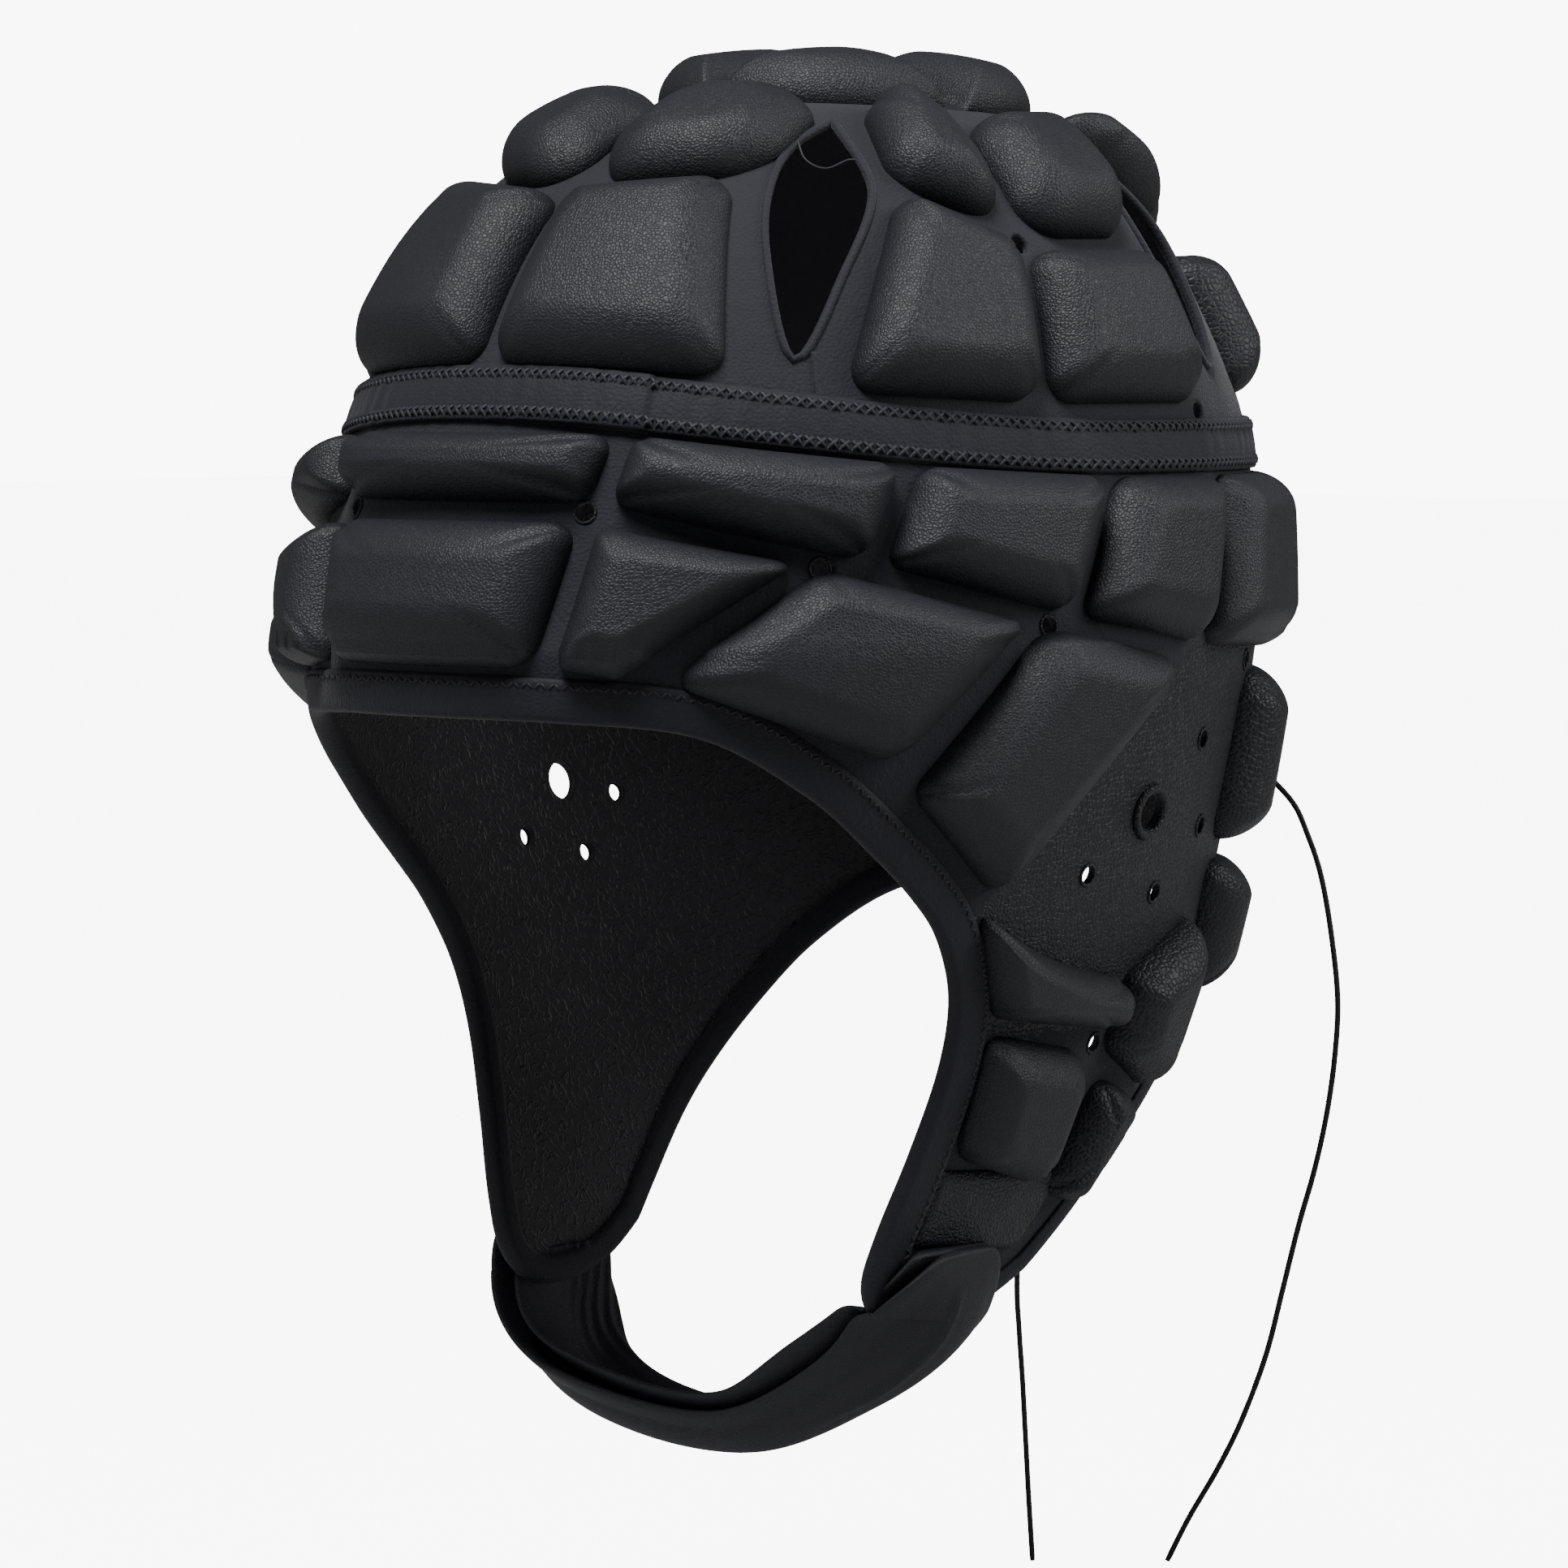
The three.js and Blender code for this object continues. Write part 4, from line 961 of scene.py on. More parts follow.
def pad_points(corners, radius, shoulder, channel, sag, falls, side, seed, full, count=46):
    """The pad's top and its flat back on the cap, one grid each. Corner shares are mixed
    over the cell; a sag bends the upper side down as a parabola."""
    u = np.linspace(-1, 1, count)
    u = np.sign(u) * (1 - (1 - np.abs(u)) ** 1.7)
    x, y = np.meshgrid(u, u)
    tl, tr, br, bl = (np.array(c, float) for c in corners)

    def on_cell(s, t):
        s, t = np.asarray(s, float), np.asarray(t, float)
        turn = mix(mix(tl[0], tr[0], s), mix(bl[0], br[0], s), t)
        down = mix(mix(tl[1], tr[1], s), mix(bl[1], br[1], s), t)
        if falls:
            return by_fall(turn, down)
        return by_level(turn, down - sag * (tl[1] - bl[1]) * 4 * s * (1 - s) * (1 - t))

    wide = np.linalg.norm(on_cell(0, 0.5) - on_cell(1, 0.5))
    tall = np.linalg.norm(on_cell(0.5, 0) - on_cell(0.5, 1))
    shares = (2 * radius / (wide - channel), 2 * radius / (tall - channel))
    ru, rv = rounded_square(x, y, *np.minimum(shares, 0.95))
    s, t = (1 + ru) / 2, (1 + rv) / 2
    width = np.linalg.norm(on_cell(np.zeros_like(t), t) - on_cell(np.ones_like(t), t), axis=-1)
    depth = np.linalg.norm(on_cell(s, np.zeros_like(s)) - on_cell(s, np.ones_like(s)), axis=-1)
    inset_s, inset_t = channel / 2 / width, channel / 2 / depth
    foot = on_cell(mix(inset_s, 1 - inset_s, s), mix(inset_t, 1 - inset_t, t))
    to_side = (1 - np.abs(x)) * (width - channel) / 2
    to_end = (1 - np.abs(y)) * (depth - channel) / 2
    near = np.minimum(to_side, to_end)
    gap = np.abs(to_side - to_end)
    near = near - RIDGE_SHARE * RIDGE * np.exp(-gap / RIDGE) * np.minimum(near / RIDGE, 1)
    reach = min(shoulder, REACH_SHARE * (min(wide, tall) - channel))
    rise = full * min(1, reach / FULL_REACH) if full == PAD_RISE else full
    height = rise * shoulder_height(near, reach) * (1 + DENT_SHARE * dents(foot, seed)) + PAD_FOOT
    scale = np.array([side, 1, 1])
    return lifted(foot, height) * scale, foot * scale


def pad_piece(name, cell, channel, sag, falls, side, seed, material, full=PAD_RISE):
    """Closed: the top grid, the back grid turned over, and a rim that joins their borders."""
    top, back = pad_points(*cell, channel, sag, falls, side, seed, full)
    n = top.shape[0]
    faces = grid_faces(n, n)
    number = np.arange(n * n).reshape(n, n)
    border = np.concatenate([number[0, :-1], number[:-1, -1], number[-1, :0:-1], number[:0:-1, 0]])
    after = np.roll(border, -1)
    rim = np.stack([border, border + n * n, after + n * n, after], -1)
    all_faces = np.concatenate([faces, faces[:, ::-1] + n * n, rim])
    points = np.concatenate([top.reshape(-1, 3), back.reshape(-1, 3)])
    return make_piece(name, points, all_faces, [material])


print("a narrow pad rises", round(PAD_RISE * min(1, 4 / FULL_REACH), 1), "mm, a wide one", PAD_RISE)

# %% [markdown]
# ## All pads
# The left pads are mirrored to the right, and every pad has dents of its own. The rear pads
# are covered in the coarser leather.

# %% All pads
pads = []
seed = 0
for cells, falls, sides, channel in (
    (crown_cells, True, (1, -1), CROWN_CHANNEL),
    (crown_middle, True, (0,), CROWN_CHANNEL),
    (side_cells, False, (1, -1), SIDE_CHANNEL),
    (middle_cells, False, (0,), SIDE_CHANNEL),
):
    for key, cell in cells.items():
        for side in sides:
            seed += 1
            tail = {1: "_left", -1: "_right", 0: ""}[side]
            finish_of = COARSE_LEATHER if key in COARSE else PAD_LEATHER
            pad = pad_piece(
                f"{key}_cover{tail}", cell, CHANNELS.get(key, channel), SAGS.get(key, 0), falls,
                side or 1, seed, finish_of,
            )
            dress(pad, "leather", f"{key}_pad{tail}")
            pads.append(pad)
print("pads:", len(pads))

# %% [markdown]
# ## Cheek patches
# A low patch is pressed into each cheek's end, above the strap. It is a pad with hardly any
# rise, so the pads' own formula makes it.

# %% Low patches on the cheek ends
PATCH_RISE, PATCH_CHANNEL = 1.3, 1.2
patch_cell = ([by_face(-0.775, 0.2), (93.5, -0.8), (88.5, -0.925), by_face(-0.9, 0.4)], 1.5, 1.8)
for side, tail in ((1, "left"), (-1, "right")):
    patch = pad_piece(
        f"cheek_patch_{tail}", patch_cell, PATCH_CHANNEL, 0, False, side, seed, EAR_LEATHER,
        PATCH_RISE,
    )
    dress(patch, "cloth")
print("a patch has", len(patch.data.polygons), "faces")

# %% [markdown]
# ## The four pads round the top
# They share one moulding: a dome with a cross of channels, whose height falls towards its
# rim and towards each channel. One grid round the top makes all four, with no seams
# between them.

# %% Top pads
TOP_LINES = np.array([0, 83, 180, 277, 360.0])
TOP_RIM_FRONT, TOP_RIM_BACK, TOP_SHOULDER = 16, 22, 8


def top_points(columns=360, rows=54):
    """Top and back of the moulding: the pads' shoulder, measured from the nearer of the
    rim and the channels' sides; a channel is a ray from the middle."""
    turn = np.linspace(0, 360, columns, endpoint=False)
    rim = mix(TOP_RIM_FRONT, TOP_RIM_BACK, smooth(from_face(turn) / 180))
    share = 1 - (1 - np.linspace(0, 1, rows)) ** 1.6
    fall = share[:, None] * rim
    foot = by_fall(np.broadcast_to(turn, fall.shape), fall)
    line = np.abs(turn[:, None] - TOP_LINES).min(1)
    middle = by_fall(0.0, 0.01)
    radius = np.hypot(foot[..., 0], foot[..., 1] - middle[1])
    aside = np.clip(radius * np.sin(np.radians(np.minimum(line, 90))) - CHANNEL / 2, 0, None)
    inside = np.linalg.norm(foot - by_fall(turn, rim), axis=-1)
    near = np.minimum(aside, inside)
    height = PAD_RISE * shoulder_height(near, TOP_SHOULDER) + PAD_FOOT
    return lifted(foot, height), foot


layers = top_points()
layers = np.concatenate([layers[0], layers[1][::-1]])
faces = grid_faces(*layers.shape[:2], round_columns=True)
top_pads = make_piece("top_cover", layers, faces, [PAD_LEATHER])
weld(top_pads)
dress(top_pads, "leather", "top_pads")
print("top moulding:", len(top_pads.data.polygons), "faces")

# %% [markdown]
# ## Binding
# A strip of knitted tape is folded over the panel's whole edge. It is a closed profile in
# the shape of a letter U, which holds the cloth, carried along the edge line; at the neck
# the profile is narrower. A bevelled curve would twist where the edge turns, and this one
# takes its directions from the cap.

# %% Binding profile along the edge
def binding_profile(width, turn_in=4.0, lift=1.25):
    """Runs outside from the binding's inner end to the edge, in a half circle round it, back
    inside, and returns on the cloth. Columns: inwards from the edge, outwards from the cap."""
    a = np.linspace(np.pi / 2, 3 * np.pi / 2, 13)
    depth = VISIBLE_WALL / 2
    round_edge = np.stack([np.cos(a) * (lift + 0.2), -depth + np.sin(a) * (depth + lift)], -1)
    outside = [(width, 0.1), (width + 0.25, 0.45), (width - 0.1, 0.95), (width - 0.9, 1.12)]
    outside += [(width * 0.6, 1.2), (width * 0.3, lift)]
    inside = [(turn_in * 0.6, -VISIBLE_WALL - lift), (turn_in, -VISIBLE_WALL - 0.9)]
    inside += [(turn_in + 0.1, -VISIBLE_WALL - 0.1)]
    back = [(0.3, -VISIBLE_WALL - 0.05), (-0.05, -depth), (0.3, 0.05)]
    return np.concatenate([outside, round_edge, inside, back])


def edge_frame(points):
    """Directions out from the cap and in over the cloth, square to the edge: the product of
    the outward direction and the step between a point's neighbours."""
    along = unit(np.roll(points, -1, axis=0) - np.roll(points, 1, axis=0))
    out = outward(points)
    return out, unit(np.cross(out, along))


out, into = edge_frame(edge_points)
wide_profile, neck_profile = binding_profile(BINDING_WIDTH), binding_profile(NECK_BINDING_WIDTH)
neck = edge_line[:, 3][:, None, None]
profile = mix(wide_profile, neck_profile, neck)
rings = edge_points[:, None] + into[:, None] * profile[..., :1] + out[:, None] * profile[..., 1:]
faces = grid_faces(*rings.shape[:2], round_rows=True, round_columns=True)
binding = make_piece("binding", rings, faces, [TAPE])
dress(binding, "tape", "edge_binding")
print("binding:", len(binding.data.polygons), "faces")

# %% [markdown]
# ## Seam tape
# Another strip covers the seam between the two panels, with its end sewn down over its
# start beside the front. It is the same idea, a profile carried along the seam's wave, and
# a slow ripple shows that it is sewn cloth.

# %% Seam tape
TAPE_END, OVERLAP = 27.0, 0.9
RIPPLE = 0.12
TAPE_PROFILE = np.array([
    # down across the tape, out from the cap
    (-5, 0.15), (-4.9, 0.8), (-4.5, 1.15), (-3.9, 1.1), (-3.3, 1.2), (-2.4, 1.3), (0, 1.35),
    (2.4, 1.3), (3.3, 1.2), (3.9, 1.1), (4.5, 1.15), (4.9, 0.8), (5, 0.15), (4.9, 0.05),
    (-4.9, 0.05),
])


def tape_overlap(turn):
    """How much higher the tape lies where its end covers its start: a step at the end, at
    27 degrees, that fades to nothing towards the middle of the front."""
    return OVERLAP * smooth((TAPE_END - turn) / 0.8) * smooth((turn - TAPE_END + 30) / 25)


def tape_rings(columns=900):
    """The profile at each turn: flat, with rounded edges and a small dip beside both stitch
    rows. Its upper points ripple by the product of a fast and a slow sine."""
    turn = np.linspace(0, 360, columns, endpoint=False)
    across, lift = TAPE_PROFILE.T
    ripple = RIPPLE * np.sin(np.radians(turn) * 97) * np.sin(np.radians(turn) * 13)
    level = tape_level(turn)[:, None] - across / CROWN_HEIGHT
    p = by_level(np.broadcast_to(turn[:, None], level.shape), level)
    return lifted(p, lift + (ripple + tape_overlap(turn))[:, None] * (lift > 0.5))


rings = tape_rings()
faces = grid_faces(*rings.shape[:2], round_rows=True, round_columns=True)
tape = make_piece("tape", rings, faces, [TAPE])
dress(tape, "tape", "seam_tape")
print("tape:", len(tape.data.polygons), "faces")

# %% [markdown]
# ## Stitches
# The tape is sewn on with crossed zigzags along both borders. A stitch is a tiny capsule;
# hundreds of them are one mesh, made by repeating one set of points along a list of places,
# so that each costs only a few dozen faces.

# %% Stitch mesh
STITCH_SHARES = np.array([0.0, 0.2, 0.5, 0.8, 1.0])
STITCH_SIZES = np.array([0.25, 0.9, 1.0, 0.9, 0.25])
STITCH_BOW = np.array([-0.7, 0.3, 0.6, 0.3, -0.7])
STITCH_CAPS = [[0, 1, 2, 5], [2, 3, 4, 5], [27, 26, 25, 24], [29, 28, 27, 24]]


def stitch_mesh(name, starts, ends, outs, radius):
    """Capsules from starts to ends, bowed out of the cloth: five rings of six points, whose
    sizes and bows are shares of the radius, and two quads at each end."""
    size, bow = radius * STITCH_SIZES, radius * STITCH_BOW
    side = unit(np.cross(unit(ends - starts), outs))
    line = starts[:, None] + (ends - starts)[:, None] * STITCH_SHARES[None, :, None]
    line = line + outs[:, None] * bow[None, :, None]
    a = np.linspace(0, 2 * np.pi, 6, endpoint=False)
    ring = side[:, None, None] * np.cos(a)[None, None, :, None]
    ring = ring + outs[:, None, None] * np.sin(a)[None, None, :, None]
    points = line[:, :, None] + ring * size[None, :, None, None]
    faces = np.concatenate([grid_faces(5, 6, round_columns=True), STITCH_CAPS])
    return make_piece(name, points, repeat_faces(faces, 30, len(starts)), [THREAD])


def zigzag(middle, across, outs, swing):
    """Starts and ends of a zigzag row: points along a line, swung to either side in turn."""
    sign = np.where(np.arange(len(middle)) % 2, 1, -1)[:, None]
    points = middle + sign * swing * across
    return points[:-1], points[1:], outs[:-1]


print("a stitch has", len(grid_faces(5, 6, round_columns=True)) + len(STITCH_CAPS), "faces")

# %% Tape stitches
TAPE_ROWS, TAPE_SWING, TAPE_STITCH_LIFT = (-3.3, 3.3), 1.15, 1.1
TAPE_STITCHES, TAPE_STITCH_RADIUS = 261, 0.42


def tape_row(offset, swing):
    """A zigzag beside the seam's wave, lifted onto the tape and over its overlap."""
    turn = np.linspace(0, 360, TAPE_STITCHES)
    level = tape_level(turn) - offset / CROWN_HEIGHT
    p = by_level(turn, level)
    out = outward(p)
    along = unit(np.gradient(p, axis=0))
    raised = (TAPE_STITCH_LIFT + tape_overlap(turn))[:, None]
    return zigzag(p + raised * out, np.cross(out, along), out, swing)


stitch_rows = [tape_row(offset, s * TAPE_SWING) for offset in TAPE_ROWS for s in (1, -1)]
starts, ends, outs = (np.concatenate([row[k] for row in stitch_rows]) for k in range(3))
tape_stitches = stitch_mesh("tape_stitches", starts, ends, outs, TAPE_STITCH_RADIUS)
dress(tape_stitches, "tape")
print("tape stitches:", len(starts))

# %% [markdown]
# ## Brim stitches
# The binding is sewn with one finer zigzag along its inner border, round the brim and the
# face. The row follows the edge line, moved in over the cloth.

# %% Brim stitches
BRIM_ROW, BRIM_STEP = 5.3, 1.25
BRIM_LIFT, BRIM_SWING, BRIM_STITCH_RADIUS = 1.1, 0.5, 0.24
on_brim = edge_line[:, 3] < 0.5
order = np.arange(len(edge_line))
brim = np.concatenate([order[on_brim & (order > EDGE_STEPS)], order[on_brim & (order <= EDGE_STEPS)]])
row = edge_points[brim] + into[brim] * BRIM_ROW
row = smooth_line(row, int(length_of(row) / BRIM_STEP))
row_out = outward(row)
row_side = np.cross(row_out, unit(np.gradient(row, axis=0)))
starts, ends, outs = zigzag(row + BRIM_LIFT * row_out, row_side, row_out, BRIM_SWING)
brim_stitches = stitch_mesh("brim_stitches", starts, ends, outs, BRIM_STITCH_RADIUS)
dress(brim_stitches, "tape")
print("brim stitches:", len(starts))

# %% [markdown]
# ## Ear rings and hole rims
# The ear hole has a moulded ring, the small holes a faint rim. A bevel on the cut would
# follow the cloth's faces; a ring with a small round section about the hole's outline
# stays even.

# %% Rings
RING_SIDES = 10


def torus_points(centre, radius, tube, sides, lift=0.0, flat=1.0):
    """A circle of round sections about a point of the cap, lifted and flattened outwards."""
    centre = np.asarray(centre, float)
    out, across, up = frame_at(centre)
    a = np.linspace(0, 2 * np.pi, sides, endpoint=False)[:, None, None]
    b = np.linspace(0, 2 * np.pi, RING_SIDES, endpoint=False)[None, :, None]
    ray = np.cos(a) * across + np.sin(a) * up
    return centre + lift * out + ray * (radius + tube * np.cos(b)) + out * tube * flat * np.sin(b)


def rings_piece(name, places, radius, tube, sides, **more):
    """One ring at each place, all in one mesh."""
    sets = np.stack([torus_points(p, radius, tube, sides, **more) for p in places])
    faces = grid_faces(sides, RING_SIDES, round_rows=True, round_columns=True)
    faces = repeat_faces(faces, sides * RING_SIDES, len(places))
    return dress(make_piece(name, sets, faces, [EAR_LEATHER]), "cloth")


ear_places = [by_level(t, v) for t, v in ear_holes]
rings_piece("ear_rings", ear_places, 4.5, 0.85, 48, lift=0.25, flat=0.9)
hole_places = [by_level(t, v) for t, v in small_places]
rings_piece("hole_rims", hole_places, 1.95, 0.3, 28, lift=0.05)
print("rings:", len(ear_places), "rims:", len(hole_places))

# %% [markdown]
# ## Chin strap
# Two layers of soft tape run from cheek to cheek under the chin. The outer one ends in a
# rounded tongue on the left cheek and is gathered at the right one. A cloth simulation
# could drape it, but would not end in the photographed curve, so it is a profile carried
# along a bent loop.

# %% Strap line
STRAP_THICKNESS = 2.4
STRAP_HALF, STRAP_TOP, STRAP_DROP, CHIN_SHIFT = 47, -226, 29, 5
LEFT_POWER, RIGHT_POWER, CHEEK_LEAN = 1.36, 0.84, 0.3
CHEEK_Y, CHIN_Y = -12, -17.5
STRAP_TILT, REAR_TILT, LEFT_TILT = 42, 0.6, 0.8
TONGUE_START, TONGUE_RAMP = -27, 47


def strap_centre(b):
    """The strap's middle line: powered cosine and sine of the angle, fuller on the right,
    that go on straight up the cheeks and lean outwards there."""
    over = np.maximum(np.maximum(-b, b - np.pi), 0)
    to_side = smooth(np.abs(b - np.pi / 2) / 0.9)
    power = mix(1, np.where(b < np.pi / 2, LEFT_POWER, RIGHT_POWER), to_side)
    low = np.maximum(np.sin(b), 0)
    lean = 1 + CHEEK_LEAN * over * STRAP_DROP / STRAP_HALF
    x = np.where(over > 0, np.sign(np.cos(b)) * lean, powered(np.cos(b), power))
    x = x * STRAP_HALF - CHIN_SHIFT * low**2
    z = STRAP_TOP + STRAP_DROP * (over - powered(low, power))
    return np.stack([x, mix(CHEEK_Y, CHIN_Y, low), z], -1)


def strap_frame(angle):
    """Middle, direction along, outward direction, share of chin and turn-up at angles."""
    b = np.radians(angle)
    along = unit(strap_centre(b + 0.02) - strap_centre(b - 0.02))
    out = unit(np.cross([0.0, -1.0, 0.0], along))
    low = np.maximum(np.sin(b), 0)
    ramp = smooth((angle - TONGUE_START) / TONGUE_RAMP)
    tilt = np.radians(STRAP_TILT) * np.where(angle < 90, mix(LEFT_TILT, 1, low) * ramp, low)
    return strap_centre(b), along, out, low**2, tilt


print("strap from", *np.round(strap_centre(np.array([0.0, np.pi / 2])), 1).tolist())

# %% Strap surface
TONGUE_SHARE, HEEL_SHARE = 0.115, 0.14
FULLEST, FULL_SPREAD = 38, 26
RIDGE_PLACE, RIDGE_HEIGHT, RIDGE_WIDTH, RIDGE_END = 3.5, 0.8, 0.8, 62
PLEAT, PLEATS_FROM, PLEATS_GROW = 3.1, 112, 50


def three_way(values, left, chin):
    """A measure at the left end, the chin and the right end, mixed by the share of chin."""
    return np.where(left, mix(values[0], values[1], chin), mix(values[2], values[1], chin))


def end_taper(share, narrow):
    """From the narrow share at an end to 1 inside, along a quarter of an ellipse."""
    return mix(narrow, 1, np.sqrt(1 - (1 - share) ** 2))


def strap_rings(
    start, stop, rear, front, fuller, lift, tongue, heel, gather, ridge, count=220, width=56
):
    """A closed profile carried along the strap. Its halves are turned up about the middle
    line, more at the front; the left end may be drawn into a tongue with a pressed ridge and
    the right end into a heel; gathers are waves across the rear half that fade in towards
    the right cheek."""
    angle = np.linspace(start, stop, count)
    centre, along, out, chin, tilt = strap_frame(angle)
    left = angle < 90
    rear_half = three_way(rear, left, chin)
    front_half = three_way(front, left, chin)
    front_half = front_half + fuller * np.exp(-(((angle - FULLEST) / FULL_SPREAD) ** 2))
    near = np.clip((angle - start) / (stop - start) / TONGUE_SHARE, 0, 1)
    far = np.clip((stop - angle) / (stop - start) / HEEL_SHARE, 0, 1)
    narrowed = (end_taper(near, tongue) * end_taper(far, heel))[:, None]
    t = np.linspace(-1, 1, width)
    t = (np.sign(t) * (1 - (1 - np.abs(t)) ** 1.5))[None]
    reach = np.where(t < 0, rear_half[:, None], front_half[:, None]) * t * narrowed
    bend = np.where(t < 0, -REAR_TILT, 1) * np.minimum(np.abs(t) * 1.6, 1)
    turned = tilt[:, None] * bend
    across = np.stack([np.zeros_like(turned), -np.cos(turned), np.zeros_like(turned)], -1)
    across = across - out[:, None] * np.sin(turned)[..., None]
    face = unit(np.cross(across, along[:, None]))
    base = three_way(lift, left, chin)[:, None] + STRAP_THICKNESS / 2
    swell = STRAP_THICKNESS / 2 * np.sqrt(np.clip(1 - np.abs(t) ** 8, 0, 1))
    folds = gather * smooth((angle - PLEATS_FROM) / PLEATS_GROW)[:, None] * smooth((0.35 - t) * 2)
    wave = folds * np.sin(2 * np.pi * reach / PLEAT + 1.4 * np.sin(angle[:, None] / 9))
    along_ridge = smooth((angle - start - 12) / 8) * smooth((RIDGE_END - angle) / 30)
    pressed = ridge * along_ridge[:, None] * np.exp(-(((reach - RIDGE_PLACE) / RIDGE_WIDTH) ** 2))
    middle = centre[:, None] + across * reach[..., None]
    inner = middle + face * (base - swell + 0.8 * wave)[..., None]
    outer = middle + face * (base + swell + wave + pressed)[..., None]
    return np.concatenate([outer, inner[:, ::-1]], axis=1)


def strap_piece(name, node, **shape):
    """The rings as a closed piece: its two ends are filled by quads across."""
    rings = strap_rings(**shape)
    n = rings.shape[1]
    faces = grid_faces(*rings.shape[:2], round_columns=True)
    k = np.arange(n // 2 - 1)
    cap = np.stack([k, k + 1, n - 2 - k, n - 1 - k], -1)
    faces = np.concatenate([faces, cap[:, ::-1], cap + (len(rings) - 1) * n])
    strap = make_piece(name, rings, faces, [STRAP_SKIN])
    return dress(strap, "tape", node)


print("turned up at the chin by", round(np.degrees(strap_frame(np.array([90.0]))[4][0])), "degrees")

# %% Both strap layers
HALF = 15.5  # half the strap's width
inner_strap = strap_piece(
    "strap_under", "chin_strap_inner", start=-25, stop=186,
    rear=(HALF - 6, HALF - 5.5, HALF - 2.5), front=(HALF + 2.2, HALF - 3, HALF + 2.5), fuller=2,
    lift=(0.6, -STRAP_THICKNESS, -STRAP_THICKNESS), tongue=0.72, heel=0.7, gather=0.45, ridge=0,
)
outer_strap = strap_piece(
    "strap_over", "chin_strap_outer", start=TONGUE_START, stop=200,
    rear=(HALF - 6, HALF - 5.5, HALF - 4), front=(HALF + 3, HALF - 4.5, HALF + 2), fuller=-2.4,
    lift=(4.2, 0.65, 3.2), tongue=0.4, heel=0.45, gather=0.3, ridge=RIDGE_HEIGHT,
)
print("strap layers:", len(inner_strap.data.polygons), len(outer_strap.data.polygons))

# %% [markdown]
# ## The lacing at the back
# One lace crosses between two rows of eyelets below the nape's pad and tightens the cap. It
# is kept tight, so it is a part of the cap and no free cord: two tubes that cross over, with
# a ring for each eyelet.

# %% Lacing and eyelets
LACE_LEVELS = [-0.1, -0.16, -0.22, -0.28]
EYELET_SPREAD = 9.0
LACE_LIFTS = {1: 1.3, -1: 0.9}


def lacing_line(side):
    """From the middle of the first pair of eyelets, crossing over at each further pair. The
    left run lies over the right one."""
    levels = np.array([LACE_LEVELS[0], *LACE_LEVELS])
    p = by_level(np.full(5, 180.0), levels)
    p[:, 0] = side * EYELET_SPREAD * np.array([0, 1, -1, 1, -1.0])
    p[:, 1] += LACE_LIFTS[side]
    return smooth_line(p, 90)


lace_radius = LACE_DIAMETER / 2
lacing = [tube_points(end_runs(lacing_line(side), lace_radius), lace_radius) for side in (1, -1)]
rows, columns = lacing[0].shape[:2]
faces = repeat_faces(grid_faces(rows, columns, round_columns=True), rows * columns, 2)
lace_back = make_piece("lace_crossing", np.stack(lacing), faces, [LACE])
dress(lace_back, "cord", "back_lace")
spots = by_level(np.full(4, 180.0), np.array(LACE_LEVELS))
eyelet_places = [spot + [side * EYELET_SPREAD, -0.4, 0] for spot in spots for side in (1, -1)]
rings_piece("eyelets", eyelet_places, 1.7, 0.4, 24, lift=0.2)
print("eyelets:", len(eyelet_places))

# %% [markdown]
# ## Floor and surroundings
# The photograph has an even, almost white ground. A plain pale floor lies below the hanging
# laces. To keep the black cap's contrast, floor and surroundings look bright to the camera
# alone and shed little light: the strength of their glow is high only where the ray comes
# from the camera.

# %% Floor and surroundings
FLOOR, FLOOR_REACH, FLOOR_GLOW = -0.33, 9, 8.0
SEEN_WORLD, LIT_WORLD = 9.0, 0.14


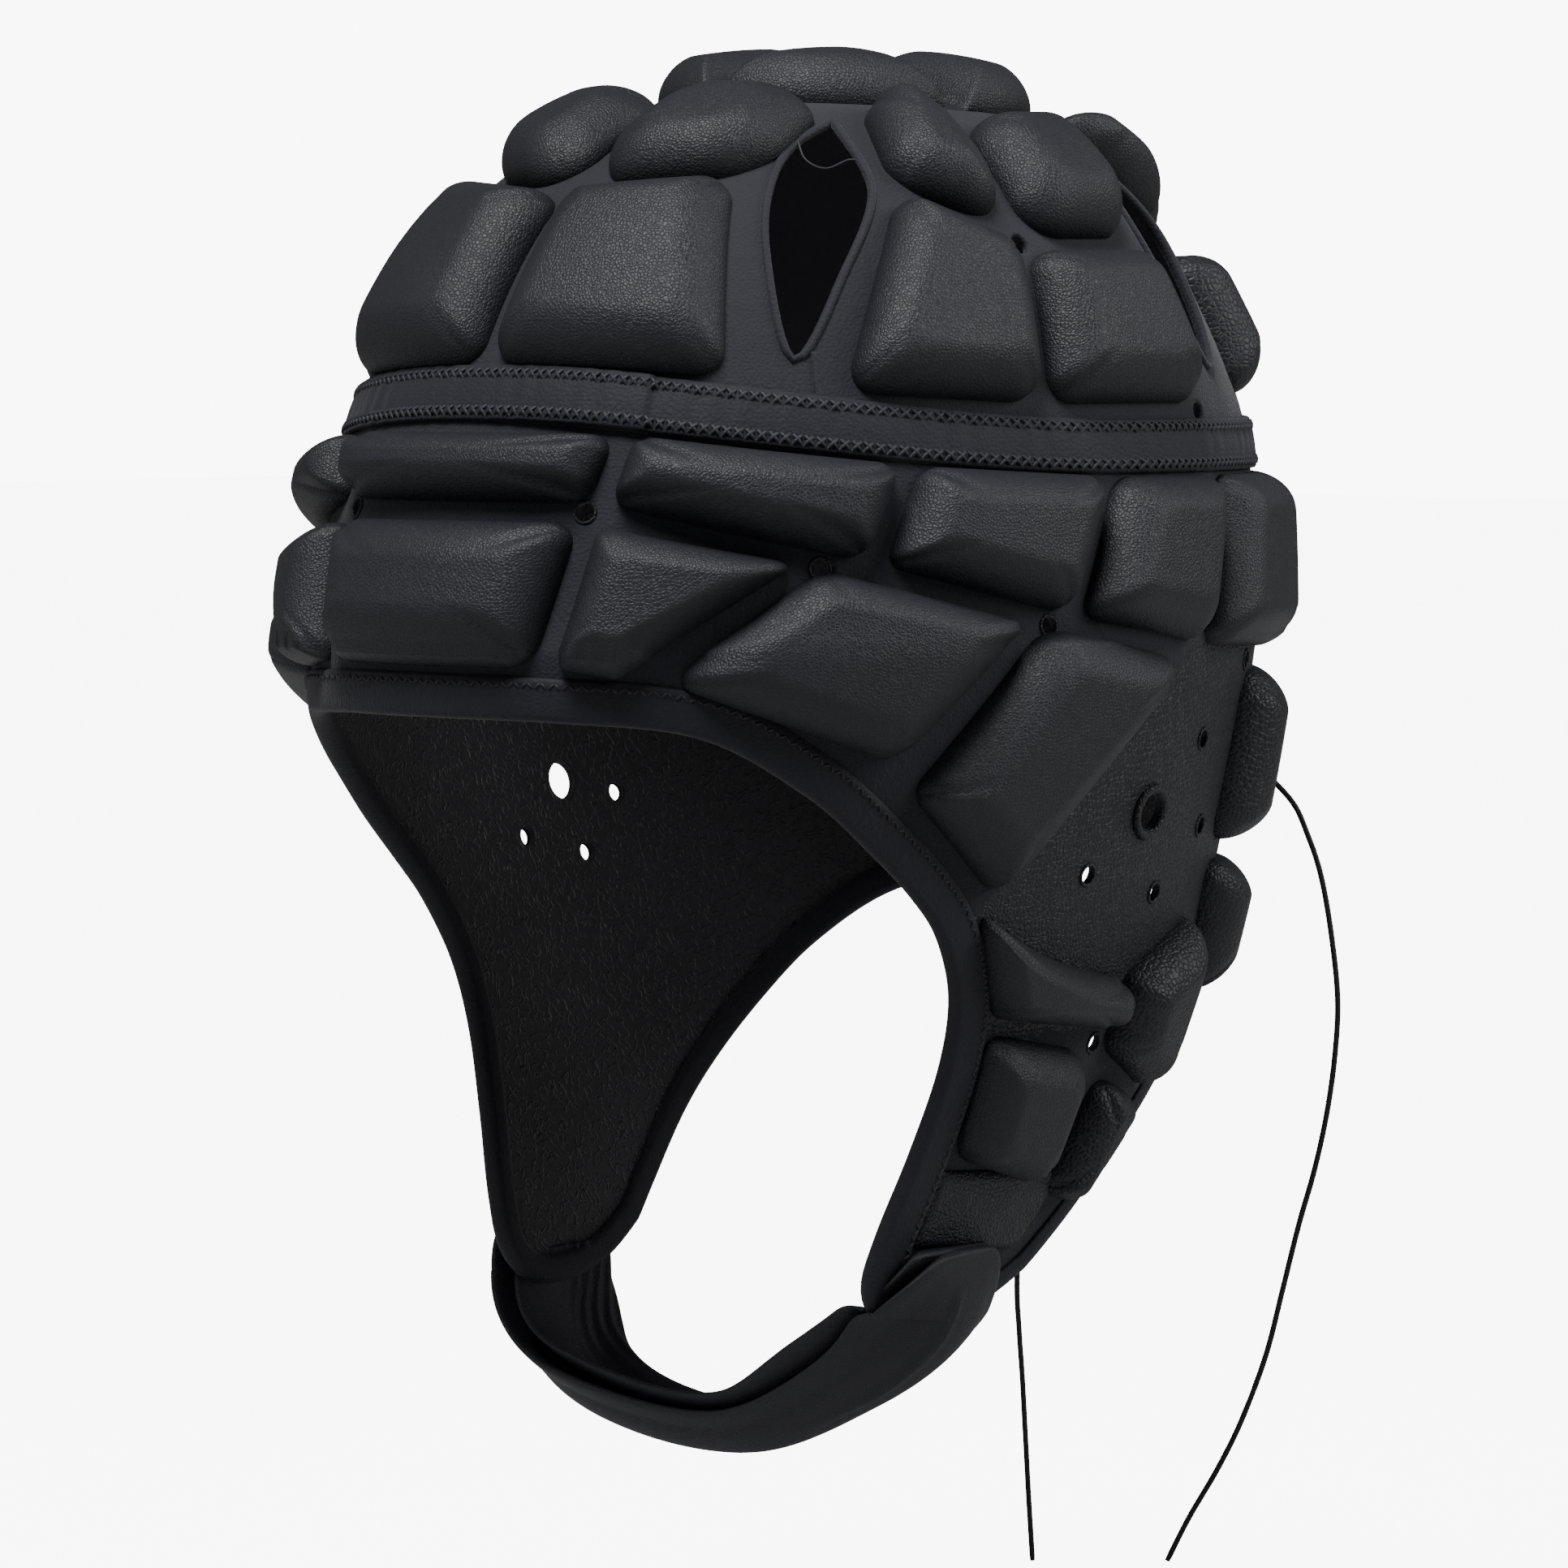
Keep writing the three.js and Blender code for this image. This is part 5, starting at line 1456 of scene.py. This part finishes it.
def seen_strength(tree, seen, lit, socket):
    """Feeds a strength: the seen value for camera rays, the lit one for all others."""
    camera_ray = tree.nodes.new("ShaderNodeLightPath").outputs["Is Camera Ray"]
    strength = math_node(tree, "MULTIPLY", camera_ray, seen - lit)
    link(tree, math_node(tree, "ADD", strength, lit), socket)


floor_finish = bpy.data.materials.new("floor")
floor_finish.use_nodes = True
floor_shader = floor_finish.node_tree.nodes["Principled BSDF"]
floor_shader.inputs["Base Color"].default_value = (0.4, 0.4, 0.4, 1)
floor_shader.inputs["Roughness"].default_value = 0.9
floor_shader.inputs["Emission Color"].default_value = (1, 1, 1, 1)
seen_strength(floor_finish.node_tree, FLOOR_GLOW, 0.0, floor_shader.inputs["Emission Strength"])
floor_corners = np.array([(-1, -1), (1, -1), (1, 1), (-1, 1)]) * FLOOR_REACH
floor_points = np.column_stack([floor_corners, np.full(4, FLOOR)]) / MM
floor = make_piece("floor", floor_points, [[0, 1, 2, 3]], [floor_finish], closed=False)
world = bpy.context.scene.world or bpy.data.worlds.new("studio")
bpy.context.scene.world = world
world.use_nodes = True
backdrop = world.node_tree.nodes["Background"]
backdrop.inputs["Color"].default_value = (1, 1, 1, 1)
seen_strength(world.node_tree, SEEN_WORLD, LIT_WORLD, backdrop.inputs["Strength"])
print("floor at", FLOOR, "m")

# %% [markdown]
# ## Lights
# Lamps in a studio would be square softboxes, so these are area lights. One stands high in
# front and gives each pad its bright top, a second at the wearer's rear left draws the edge
# of the back, and a weak third opens the shadows on the wearer's right.

# %% Lights
lights = {
    # azimuth and elevation in degrees, distance and size in metres, power in watts
    "key": (18, 64, 1.6, 0.7, 50),
    "rim": (125, 30, 1.5, 0.8, 18),
    "fill": (-50, 25, 1.8, 1.0, 5),
}
for name, (azimuth, elevation, distance, size, power) in lights.items():
    light = bpy.data.lights.new(name, "AREA")
    light.size, light.energy = size, power
    aim(bpy.data.objects.new(name, light), np.radians(azimuth), np.radians(elevation), distance)
print("lights:", len(bpy.data.lights))
